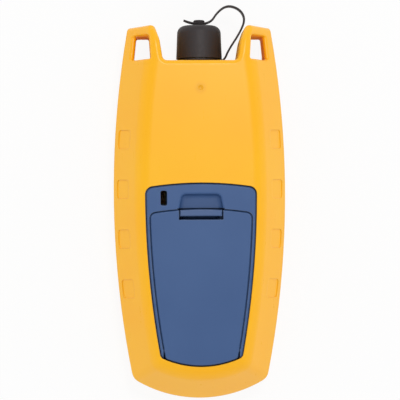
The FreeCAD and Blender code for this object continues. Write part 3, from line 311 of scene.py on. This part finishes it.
def use_group(tree, group, **values):
    """Place a node group in a material with its own values. Words are joined by underscores."""
    made = tree.nodes.new("ShaderNodeGroup")
    made.node_tree = group
    for key, value in values.items():
        made.inputs[key.replace("_", " ")].default_value = value
    return made


def blank_material(name):
    """A material that holds only a principled shader, with its tree and shader."""
    material = bpy.data.materials.new(name)
    material.use_nodes = True
    tree = material.node_tree
    tree.nodes.clear()
    shader = put(tree, "BsdfPrincipled")
    put(tree, "OutputMaterial", {"Surface": shader.outputs[0]})
    return material, tree, shader


def moulded(name, base, tint, wear_and_highlight_tint, grain, edge, roughness=(0.42, 0.55), depth=0.00001, wear_and_highlight=0.35):
    """A moulded or rubber finish: pebbled grain, a slow drift of tone, and rounded edges that go to a paler
    tint, part wear and part painted highlight.

    Roughness runs from low grain to high, depth is the height of the grain, and wear_and_highlight is how
    far the edges
    go towards their tint: wear, and a painted highlight where the rounded edges would catch the light.
    """
    scuff_gloss = -0.06
    material, tree, shader = blank_material(name)
    surface = use_group(tree, shared("Moulded grain", grain_group), Grain=grain, Drift=0.03)
    rim = use_group(tree, shared("Rounded edge", edge_group), Radius=edge)
    toned = mixed(tree, surface.outputs["Tone"], base, tint)
    # Painted highlight and wear: the edge mask takes the colour towards the paler edge tint.
    worn_and_highlit = maths(tree, "MULTIPLY", rim.outputs["Edge"], wear_and_highlight)
    tree.links.new(mixed(tree, worn_and_highlit, toned, wear_and_highlight_tint), shader.inputs["Base Color"])
    scuffed = maths(tree, "MULTIPLY", surface.outputs["Scuff"], scuff_gloss)
    gloss = maths(tree, "ADD", ranged(tree, surface.outputs["Height"], 0.3, 0.7, *roughness), scuffed)
    tree.links.new(gloss, shader.inputs["Roughness"])
    shader.inputs["IOR"].default_value = 1.42
    relief = put(tree, "Bump", {
        "Strength": 1.0, "Distance": depth,
        "Height": surface.outputs["Height"], "Normal": rim.outputs["Normal"],
    })
    tree.links.new(relief.outputs[0], shader.inputs["Normal"])
    return material


def paint_gate_shade(material, spot, radius, shade):
    """Paint shade into the dimple where the plastic entered the mould: most in its middle and gone at its
    radius.
    """
    most = 0.55
    tree = material.node_tree
    socket = tree.nodes["Principled BSDF"].inputs["Base Color"]
    place = put(tree, "TexCoord").outputs["Object"]
    away = put(tree, "VectorMath", {0: place, 1: spot}, operation="DISTANCE").outputs["Value"]
    share = ranged(tree, away, 0.0, radius, most, 0.0)
    tree.links.new(mixed(tree, share, socket.links[0].from_socket, shade), socket)


def roughen_walls(material, roughness):
    """Dull the walls that slid along the mould as it opened: those whose normal lies almost level."""
    level, sloping = 0.1, 0.25
    tree = material.node_tree
    socket = tree.nodes["Principled BSDF"].inputs["Roughness"]
    normal = put(tree, "NewGeometry").outputs["Normal"]
    upright = maths(tree, "ABSOLUTE", put(tree, "SeparateXYZ", {0: normal}).outputs["Z"])
    dull = ranged(tree, upright, level, sloping, roughness, 0.0)
    tree.links.new(maths(tree, "MAXIMUM", socket.links[0].from_socket, dull), socket)


def turned_metal(name, base, tint, roughness, spacing=0.00015):
    """A turned and plated metal: fine rings about the port's axis and a little tarnish that dulls it."""
    dulling = 0.15
    material, tree, shader = blank_material(name)
    rings = use_group(tree, shared("Turned rings", lathe_group), Spacing=spacing)
    rim = use_group(tree, shared("Rounded edge", edge_group), Radius=0.0001)
    tree.links.new(mixed(tree, rings.outputs["Gloss"], base, tint), shader.inputs["Base Color"])
    shader.inputs["Metallic"].default_value = 1.0
    gloss = ranged(tree, rings.outputs["Gloss"], 0.3, 0.7, roughness, roughness + dulling)
    tree.links.new(gloss, shader.inputs["Roughness"])
    relief = put(tree, "Bump", {
        "Strength": 0.4, "Distance": 0.000005,
        "Height": rings.outputs["Height"], "Normal": rim.outputs["Normal"],
    })
    tree.links.new(relief.outputs[0], shader.inputs["Normal"])
    return material


def clear_material(name, tint, clouded, index):
    """A clear moulding or glass with faint ripples in its surface."""
    material, tree, shader = blank_material(name)
    surface = use_group(tree, shared("Moulded grain", grain_group), Grain=0.002, Drift=0.01)
    tree.links.new(mixed(tree, surface.outputs["Tone"], tint, clouded), shader.inputs["Base Color"])
    shader.inputs["Transmission Weight"].default_value = 0.85
    shader.inputs["IOR"].default_value = index
    tree.links.new(ranged(tree, surface.outputs["Tone"], 0.0, 1.0, 0.05, 0.15), shader.inputs["Roughness"])
    relief = put(tree, "Bump", {"Strength": 0.3, "Distance": 0.00001, "Height": surface.outputs["Height"]})
    tree.links.new(relief.outputs[0], shader.inputs["Normal"])
    return material


def board_material(name):
    """Solder mask over copper: a green board with paler tracks that run both ways and small round pads."""
    material, tree, shader = blank_material(name)
    place = put(tree, "TexCoord").outputs["Object"]
    tracks = put(tree, "TexBrick", {
        "Vector": place, "Scale": 160.0, "Mortar Size": 0.06, "Brick Width": 0.9, "Row Height": 0.35,
    }).outputs["Fac"]
    pads = put(tree, "TexVoronoi", {"Vector": place, "Scale": 260.0}).outputs["Distance"]
    pad = ranged(tree, pads, 0.16, 0.2, 1.0, 0.0)
    mask = mixed(tree, noise(tree, place, 150.0), display(18, 84, 44), display(14, 70, 36))
    traced = mixed(tree, tracks, mask, display(36, 118, 66))
    tree.links.new(mixed(tree, pad, traced, display(196, 186, 150)), shader.inputs["Base Color"])
    tree.links.new(ranged(tree, pad, 0.0, 1.0, 0.28, 0.4), shader.inputs["Roughness"])
    tree.links.new(pad, shader.inputs["Metallic"])
    relief = put(tree, "Bump", {"Strength": 0.5, "Distance": 0.00003, "Height": tracks})
    tree.links.new(relief.outputs[0], shader.inputs["Normal"])
    return material


def cell_material(name, settings, band_start, band_end):
    """A cell in a plain printed film: bare steel ends, a pale band at the plus end, fine print grain."""
    material, tree, shader = blank_material(name)
    place = put(tree, "TexCoord").outputs["Object"]
    along = put(tree, "SeparateXYZ", {0: place}).outputs["Y"]
    normal = put(tree, "NewGeometry").outputs["Normal"]
    endways = maths(tree, "ABSOLUTE", put(tree, "SeparateXYZ", {0: normal}).outputs["Y"])
    bare = ranged(tree, endways, 0.6, 0.75, 0.0, 1.0)
    band = ranged(tree, along, band_start, band_end, 0.0, 1.0)
    surface = use_group(tree, shared("Moulded grain", grain_group), Grain=0.0008, Drift=0.012)
    film = mixed(tree, surface.outputs["Tone"], settings.film, display(50, 52, 58))
    printed = mixed(tree, band, film, settings.band)
    tree.links.new(mixed(tree, bare, printed, display(190, 188, 182)), shader.inputs["Base Color"])
    tree.links.new(bare, shader.inputs["Metallic"])
    tree.links.new(ranged(tree, surface.outputs["Scuff"], 0.0, 1.0, 0.3, 0.42), shader.inputs["Roughness"])
    relief = put(tree, "Bump", {"Strength": 0.3, "Distance": 0.000005, "Height": surface.outputs["Height"]})
    tree.links.new(relief.outputs[0], shader.inputs["Normal"])
    return material


def dress(material, *nodes):
    """Give a material to nodes of the frame."""
    for name in nodes:
        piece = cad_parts[name]
        piece.data.materials.clear()
        piece.data.materials.append(material)


# Surfaces

def grid_mesh(name, grids, round_rows=False):
    """A mesh from grids of points, copies by rows by columns: one quad between four neighbours.

    Columns close round. Rows close round where asked, and otherwise a flat cap closes each end row.
    Faces turn outwards: they are reversed where the volume about the middle, a sum of triple products,
    comes out negative.
    """
    copies, rows, columns = grids.shape[:3]
    points = grids.reshape(-1, 3)
    spots = np.arange(len(points)).reshape(copies, rows, columns)
    here, ahead = spots, np.roll(spots, -1, axis=1)
    if not round_rows:
        here, ahead = here[:, :-1], ahead[:, :-1]
    beside, across = np.roll(here, -1, axis=2), np.roll(ahead, -1, axis=2)
    quads = np.stack((here, beside, across, ahead), axis=-1).reshape(-1, 4)
    corners = (points - points.mean(axis=0))[quads]
    diagonal = corners[:, 0] - corners[:, 2]
    volume = (diagonal * np.cross(corners[:, 1], corners[:, 3])).sum()
    faces = quads.tolist()
    if not round_rows:
        faces += spots[:, 0, ::-1].tolist() + spots[:, -1].tolist()
    if volume < 0:
        faces = [face[::-1] for face in faces]
    mesh = bpy.data.meshes.new(name)
    mesh.from_pydata(points.tolist(), [], faces)
    mesh.polygons.foreach_set("use_smooth", np.ones(len(faces), dtype=bool))
    mesh.update()
    return mesh


def new_piece(name, mesh, material):
    """A piece at the origin with its place in its mesh."""
    piece = bpy.data.objects.new(name, mesh)
    piece.data.materials.append(material)
    bpy.context.scene.collection.objects.link(piece)
    return piece


def bar_outline(steps, corner):
    """A unit bar's outline: a circle whose sine and cosine are raised to the power two by corner.

    The more the corner, the more of a square it fills, and 2 leaves it a circle.
    """
    turn = np.linspace(0, 2 * math.pi, steps, endpoint=False)
    power = 2 / corner
    across = np.sign(np.cos(turn)) * np.abs(np.cos(turn)) ** power
    up = np.sign(np.sin(turn)) * np.abs(np.sin(turn)) ** power
    return across, up


def carried(path, sideways, upright, across, up):
    """A profile carried along a path.

    It is each point of the path, plus across times sideways, plus up times upright.
    """
    return (
        path[:, None, :]
        + across[..., None] * sideways[:, None, :]
        + up[..., None] * upright[:, None, :]
    )


def route_line(points, height):
    """Points read from a quadratic spline that has the route's points as its control points."""
    curve = bpy.data.curves.new("route", "CURVE")
    curve.dimensions = "3D"
    curve.resolution_u = 12
    spline = curve.splines.new("NURBS")
    spline.points.add(len(points) - 1)
    for spot, (across, along) in zip(spline.points, points):
        spot.co = (across, along, height, 1.0)
    spline.order_u = 3
    spline.use_endpoint_u = True
    carrier = bpy.data.objects.new("route", curve)
    mesh = bpy.data.meshes.new_from_object(carrier)
    line = np.zeros(len(mesh.vertices) * 3)
    mesh.vertices.foreach_get("co", line)
    bpy.data.meshes.remove(mesh)
    bpy.data.curves.remove(curve)
    return line.reshape(-1, 3)


def strap_mesh(line, settings):
    """A flat strap along a line that lies level.

    The section is a rounded bar, thin across the line and wide upwards. Its half width is the strap's, or
    the height of a circle about the knob where that is more. The tail is rounded off by the square root of
    the way to its end.
    """
    forward = np.gradient(line, axis=0)
    forward /= np.linalg.norm(forward, axis=1, keepdims=True)
    upright = np.tile((0.0, 0.0, 1.0), (len(line), 1))
    sideways = np.cross(forward, upright)
    run = np.linalg.norm(line - line[-1], axis=1)
    knob_reach, tip_share = 0.0006, 0.12
    by_knob = np.abs(line[:, 1] - KNOB_LEVEL) < knob_reach
    eye = np.sqrt(np.maximum(settings.eyelet ** 2 - line[:, 0] ** 2, 0)) * by_knob
    tip = np.sqrt(np.clip(run / (settings.width / 2), tip_share, 1))
    half_width = np.maximum(settings.width / 2 * tip, eye)
    across, up = bar_outline(steps=28, corner=5)
    outline_across = np.tile(across * settings.thickness / 2, (len(line), 1))
    outline_up = half_width[:, None] * up
    return grid_mesh("tether_strap", carried(line, sideways, upright, outline_across, outline_up)[None])


def ring_mesh(name, inner, outer, low, high):
    """A flat ring about the port's axis: a rounded bar outline turned through a full circle."""
    across, up = bar_outline(steps=24, corner=4)
    radius = (inner + outer) / 2 + across * (outer - inner) / 2
    along = (low + high) / 2 + up * (high - low) / 2
    turn = np.linspace(0, 2 * math.pi, 96, endpoint=False)[:, None]
    sideways, upwards = radius * np.cos(turn), PORT_HEIGHT + radius * np.sin(turn)
    points = np.stack((sideways, np.broadcast_to(along, sideways.shape), upwards), axis=-1)
    return grid_mesh(name, points[None], round_rows=True)


def spring_mesh(name, low, high, turns, wire):
    """A coil spring about Y between two corners: a round wire along a helix with flat end turns.

    The rise along the axis is the share of the turns, less a part of one wave of a sine, so that it is
    slow at both ends.
    """
    steps, flatness = 40, 0.8
    middle = (low + high) / 2
    reach = (high.x - low.x) / 2 - wire
    share = np.linspace(0, 1, steps * turns)
    rise = share - flatness * np.sin(2 * math.pi * share) / (2 * math.pi)
    turn = 2 * math.pi * turns * share
    path = np.stack((
        middle.x + reach * np.cos(turn),
        low.y + wire + rise * (high.y - low.y - 2 * wire),
        middle.z + reach * np.sin(turn),
    ), axis=-1)
    outwards = np.stack((np.cos(turn), np.zeros_like(turn), np.sin(turn)), axis=-1)
    along = np.tile((0.0, 1.0, 0.0), (len(path), 1))
    across, up = bar_outline(steps=12, corner=2)
    wires = np.full((len(path), 1), wire)
    return grid_mesh(name, carried(path, outwards, along, wires * across, wires * up)[None])


def screw_mesh(name, spots, low, seat, top, shank, head):
    """Pan head screws that stand upright: a profile of radius and height, turned about each screw's axis.

    The crown falls off as the fourth power of the radius. A cross sinks into it where the smaller of the
    two distances from the axes is less than a bar's half width, and ends at a bar's half length. These and
    the widths over which the cross fades in are shares of the head's radius. Its depth and the crown's
    are shares of the head's thickness.
    """
    half_width, side_fade = 0.2, 0.1
    half_length, end_fade = 0.68, 0.12
    sink, crown_fall = 0.55, 0.25
    point, middle = 0.3, 0.02
    thick = top - seat
    edge = top - crown_fall * thick
    turn = np.linspace(0, 2 * math.pi, 64, endpoint=False)
    crown = np.linspace(1, middle, 26)[1:]
    crowned = top - crown_fall * thick * crown ** 4
    radius = np.concatenate(((point * shank, shank, shank, head, head), crown * head))[:, None]
    height = np.concatenate(((low, low + shank, seat, seat, edge), crowned))[:, None]
    across = radius * np.cos(turn)
    along = radius * np.sin(turn)
    near = np.minimum(np.abs(across), np.abs(along))
    bar = np.clip((half_width - near / head) / side_fade, 0, 1)
    bar *= np.clip((half_length - radius / head) / end_fade, 0, 1)
    sunk = bar * bar * (3 - 2 * bar) * sink * thick
    up = height - np.where(height > seat + 1e-9, sunk, 0)
    shape = np.stack((across, along, up), axis=-1)
    feet = np.array([(spot_across, spot_along, 0.0) for spot_across, spot_along in spots])
    return grid_mesh(name, shape[None] + feet[:, None, None, :])


class FAULT_LOCATOR_OT_case(bpy.types.Operator):
    """Finish the two halves of the moulded case"""

    bl_idname = "fault_locator.case"
    bl_label = "Case"

    def execute(self, context):
        finish = context.scene.fault_locator.case
        # The paler edge tint of the case is part wear and part painted highlight on its rounded edges.
        shell = moulded(
            "Housing yellow", finish.shell, finish.shell_tint, display(255, 205, 96),
            finish.grain, finish.edge, roughness=(0.30, 0.37), depth=0.000006,
        )
        roughen_walls(shell, roughness=0.75)
        # Painted shade: a darker spot stands for the shade in the dimple where the plastic entered the
        # mould.
        paint_gate_shade(shell, GATE, finish.gate, display(216, 148, 8))
        dress(shell, "rear_case", "front_case")
        return {"FINISHED"}


class FAULT_LOCATOR_OT_bay(bpy.types.Operator):
    """Finish the battery bay, its door and the latch"""

    bl_idname = "fault_locator.bay"
    bl_label = "Battery bay"

    def execute(self, context):
        finish = context.scene.fault_locator.case
        # Painted highlight: the pale edge colour, taken nine tenths of the way, stands for the light on the
        # rounded edges of the bay, door and latch, as well as wear.
        worn_and_highlit = display(132, 146, 172)
        for name, base, tint, nodes in (
            ("Bay blue", finish.bay, finish.bay_tint, ("battery_bay", "battery_door", "front_panel")),
            # Painted highlight: the latch's lighter, greyer blue stands for light on its convex tab.
            ("Latch blue", finish.latch, finish.bay, ("door_latch",)),
        ):
            dress(moulded(name, base, tint, worn_and_highlit, finish.grain, finish.bay_edge, wear_and_highlight=0.9), *nodes)
        return {"FINISHED"}


class FAULT_LOCATOR_OT_front(bpy.types.Operator):
    """Finish the keys and light pipes on the front"""

    bl_idname = "fault_locator.front"
    bl_label = "Keys and light pipes"

    def execute(self, context):
        finish = context.scene.fault_locator.case
        rubber = moulded(
            "Key rubber", finish.key, display(30, 31, 34), display(66, 67, 70),
            grain=0.0004, edge=finish.edge, roughness=(0.55, 0.7),
        )
        dress(rubber, "power_key", "mode_key")
        pipe = clear_material("Light pipe", display(232, 236, 238), display(214, 220, 224), index=1.49)
        dress(pipe, "indicator_left", "indicator_middle", "indicator_right")
        return {"FINISHED"}


class FAULT_LOCATOR_OT_board(bpy.types.Operator):
    """Finish the main board with its parts, and the screws"""

    bl_idname = "fault_locator.board"
    bl_label = "Board and screws"

    def execute(self, context):
        dress(board_material("Board green"), "main_board")
        black = moulded(
            "Black moulding", display(24, 24, 26), display(31, 31, 33), display(60, 60, 62),
            grain=0.0003, edge=0.0001,
        )
        dress(black, "power_switch", "mode_switch", "driver_chip")
        plated = turned_metal(
            "Plated steel", display(190, 188, 184), display(172, 170, 166), roughness=0.25, spacing=0.0003
        )
        dress(plated, "plate_left", "plate_right", "laser_diode")
        for node, (spots, seat, shank, head) in SCREWS.items():
            low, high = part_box(node)
            name = "crossed_" + node
            screws = new_piece(name, screw_mesh(name, spots, low.z, seat, high.z, shank, head), plated)
            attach(screws, "housing")
            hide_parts(node)
        return {"FINISHED"}


class FAULT_LOCATOR_OT_port(bpy.types.Operator):
    """Finish the optical port, the laser and the dust cap"""

    bl_idname = "fault_locator.port"
    bl_label = "Optical port"

    def execute(self, context):
        rubber = context.scene.fault_locator.tether.rubber
        nickel = turned_metal("Nickel", display(205, 202, 194), display(190, 187, 180), roughness=0.18)
        dress(nickel, "port_barrel", "port_nut")
        brass = turned_metal("Brass", display(201, 170, 98), display(184, 150, 80), roughness=0.22)
        dress(brass, "laser_holder")
        ceramic = moulded(
            "Ceramic", display(238, 237, 232), display(230, 228, 222), display(245, 244, 240),
            grain=0.0004, edge=0.0001, roughness=(0.12, 0.2), depth=0.000002,
        )
        dress(ceramic, "port_sleeve")
        glass = clear_material("Lens glass", display(244, 249, 249), display(236, 244, 246), index=1.52)
        dress(glass, "focus_lens")
        cap = moulded(
            "Cap rubber", rubber, display(47, 41, 42), display(84, 78, 76),
            grain=0.0006, edge=0.0003, roughness=(0.5, 0.62),
        )
        dress(cap, "dust_cap")
        return {"FINISHED"}


class FAULT_LOCATOR_OT_tether(bpy.types.Operator):
    """Make the tether: its ring round the port and the flat strap that loops to the knob on the cap"""

    bl_idname = "fault_locator.tether"
    bl_label = "Cap tether"

    def execute(self, context):
        settings = context.scene.fault_locator.tether
        rubber = bpy.data.materials["Cap rubber"]
        line = route_line(STRAP_ROUTE, PORT_HEIGHT)
        strap = new_piece("tether_strap", strap_mesh(line, settings), rubber)
        exit_across, ring_level = STRAP_ROUTE[0]
        low, high = ring_level - settings.ring / 2, ring_level + settings.ring / 2
        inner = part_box("port_barrel")[1].x + settings.room
        outer = PORT_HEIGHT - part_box("cap_tether")[0].z
        ring = new_piece("tether_ring", ring_mesh("tether_ring", inner, outer, low, high), rubber)
        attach(ring, "housing")
        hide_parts("cap_tether")
        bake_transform(strap)
        return {"FINISHED"}


class FAULT_LOCATOR_OT_cells(bpy.types.Operator):
    """Finish the cells and wind their contact springs"""

    bl_idname = "fault_locator.cells"
    bl_label = "Cells and springs"

    def execute(self, context):
        settings = context.scene.fault_locator.cells
        fade = 0.0002
        steel = bpy.data.materials["Plated steel"]
        for side, plus_end, inwards in (("left", 1, -1), ("right", 0, 1)):
            cell = "cell_" + side
            band_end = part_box(cell)[plus_end].y + inwards * settings.band_length
            dress(cell_material("Cell film " + side, settings, band_end + inwards * fade, band_end), cell)
            low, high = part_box("spring_" + side)
            name = "contact_spring_" + side
            spring = new_piece(name, spring_mesh(name, low, high, settings.turns, settings.wire), steel)
            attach(spring, "housing")
            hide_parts("spring_" + side)
        return {"FINISHED"}


class FAULT_LOCATOR_OT_stage(bpy.types.Operator):
    """Lay a pale floor, light it softly and stand the camera over the back"""

    bl_idname = "fault_locator.stage"
    bl_label = "Stage"

    def execute(self, context):
        settings = context.scene.fault_locator.stage
        context.scene.view_settings.view_transform = "Standard"
        self.lay_floor()
        self.light(context, settings)
        self.aim_camera(context, settings)
        return {"FINISHED"}

    def seen_directly(self, tree):
        """1 for the camera, a reflection or a view through a clear piece, and 0 for bounced light."""
        rays = put(tree, "LightPath").outputs
        seen = maths(tree, "MAXIMUM", rays["Is Camera Ray"], rays["Is Glossy Ray"])
        return maths(tree, "MAXIMUM", seen, rays["Is Transmission Ray"])

    def lay_floor(self):
        """A square floor under the case, almost white where it is seen and pale where it bounces light."""
        half, drop, glow_share = 2.0, 0.0003, 0.9
        corners = np.array(((-half, -half), (half, -half), (half, half), (-half, half)))
        points = np.column_stack((corners, np.full(4, cad_low.z - drop)))
        mesh = bpy.data.meshes.new("floor")
        mesh.from_pydata(points.tolist(), [], [(0, 1, 2, 3)])
        material = bpy.data.materials.new("Floor")
        material.use_nodes = True
        tree = material.node_tree
        tree.nodes.clear()
        pale = put(tree, "BsdfDiffuse", {"Color": (0.9, 0.9, 0.9, 1.0)})
        glow = put(tree, "Emission", {"Color": (1.0, 1.0, 1.0, 1.0), "Strength": 1.0})
        share = maths(tree, "MULTIPLY", self.seen_directly(tree), glow_share)
        both = put(tree, "MixShader", {0: share, 1: pale.outputs[0], 2: glow.outputs[0]})
        put(tree, "OutputMaterial", {"Surface": both.outputs[0]})
        new_piece("floor", mesh, material)

    def light(self, context, settings):
        """A white surround and a lamp overhead.

        The surround gains towards the horizon by the square of one less the height.
        """
        world = bpy.data.worlds.new("Surround")
        context.scene.world = world
        world.use_nodes = True
        tree = world.node_tree
        tree.nodes.clear()
        upwards = put(tree, "SeparateXYZ", {0: put(tree, "TexCoord").outputs["Generated"]}).outputs["Z"]
        sunken = maths(tree, "SUBTRACT", 1.0, maths(tree, "MAXIMUM", upwards, 0.0))
        low = maths(tree, "POWER", sunken, 2.0)
        soft = maths(tree, "MULTIPLY_ADD", low, settings.horizon, settings.surround)
        seen = self.seen_directly(tree)
        unseen = maths(tree, "SUBTRACT", 1.0, seen)
        strength = maths(tree, "MULTIPLY_ADD", soft, unseen, seen)
        sky = put(tree, "Background", {"Color": (1.0, 1.0, 1.0, 1.0), "Strength": strength})
        put(tree, "OutputWorld", {"Surface": sky.outputs[0]})
        lamp = bpy.data.lights.new("overhead", "AREA")
        lamp.energy = settings.key_light
        lamp.size = settings.lamp_size
        holder = bpy.data.objects.new("overhead", lamp)
        holder.location = settings.lamp_place
        holder.rotation_mode = "QUATERNION"
        holder.rotation_quaternion = (-holder.location).to_track_quat("-Z", "Y")
        context.scene.collection.objects.link(holder)

    def aim_camera(self, context, settings):
        """The camera looks down on the back, with the port at the top of the picture."""
        target = Vector((settings.aim_across, settings.aim_along, cad_high.z))
        back = Vector((-math.sin(settings.side), 0.0, math.cos(settings.side)))
        up = Vector((math.sin(settings.roll), math.cos(settings.roll), 0.0))
        right = up.cross(back).normalized()
        up = back.cross(right)
        lens = bpy.data.cameras.new("camera")
        lens.sensor_width = 36.0
        lens.lens = lens.sensor_width / 2 / math.tan(settings.field / 2)
        camera = bpy.data.objects.new("camera", lens)
        turn = Matrix((right, up, back)).transposed().to_4x4()
        camera.matrix_world = Matrix.Translation(target + back * settings.distance) @ turn
        context.scene.collection.objects.link(camera)
        context.scene.camera = camera


class FAULT_LOCATOR_PT_panel(bpy.types.Panel):
    """Lists the steps in order"""

    bl_idname = "FAULT_LOCATOR_PT_panel"
    bl_label = "Fibre fault locator"
    bl_space_type = "VIEW_3D"
    bl_region_type = "UI"
    bl_category = "Fault locator"

    def draw(self, context):
        for step in STEPS:
            self.layout.operator(step.bl_idname)


STEPS = (
    FAULT_LOCATOR_OT_case,
    FAULT_LOCATOR_OT_bay,
    FAULT_LOCATOR_OT_front,
    FAULT_LOCATOR_OT_board,
    FAULT_LOCATOR_OT_port,
    FAULT_LOCATOR_OT_tether,
    FAULT_LOCATOR_OT_cells,
    FAULT_LOCATOR_OT_stage,
)
CLASSES = (
    CaseSettings, TetherSettings, CellSettings, StageSettings, FaultLocatorSettings,
    *STEPS, FAULT_LOCATOR_PT_panel,
)


def register():
    for kind in CLASSES:
        bpy.utils.register_class(kind)
    bpy.types.Scene.fault_locator = bpy.props.PointerProperty(type=FaultLocatorSettings)


def unregister():
    del bpy.types.Scene.fault_locator
    for kind in reversed(CLASSES):
        bpy.utils.unregister_class(kind)


def main():
    register()
    bpy.ops.fault_locator.case()
    bpy.ops.fault_locator.bay()
    bpy.ops.fault_locator.front()
    bpy.ops.fault_locator.board()
    bpy.ops.fault_locator.port()
    bpy.ops.fault_locator.tether()
    bpy.ops.fault_locator.cells()
    bpy.ops.fault_locator.stage()


if __name__ == "__main__":
    main()
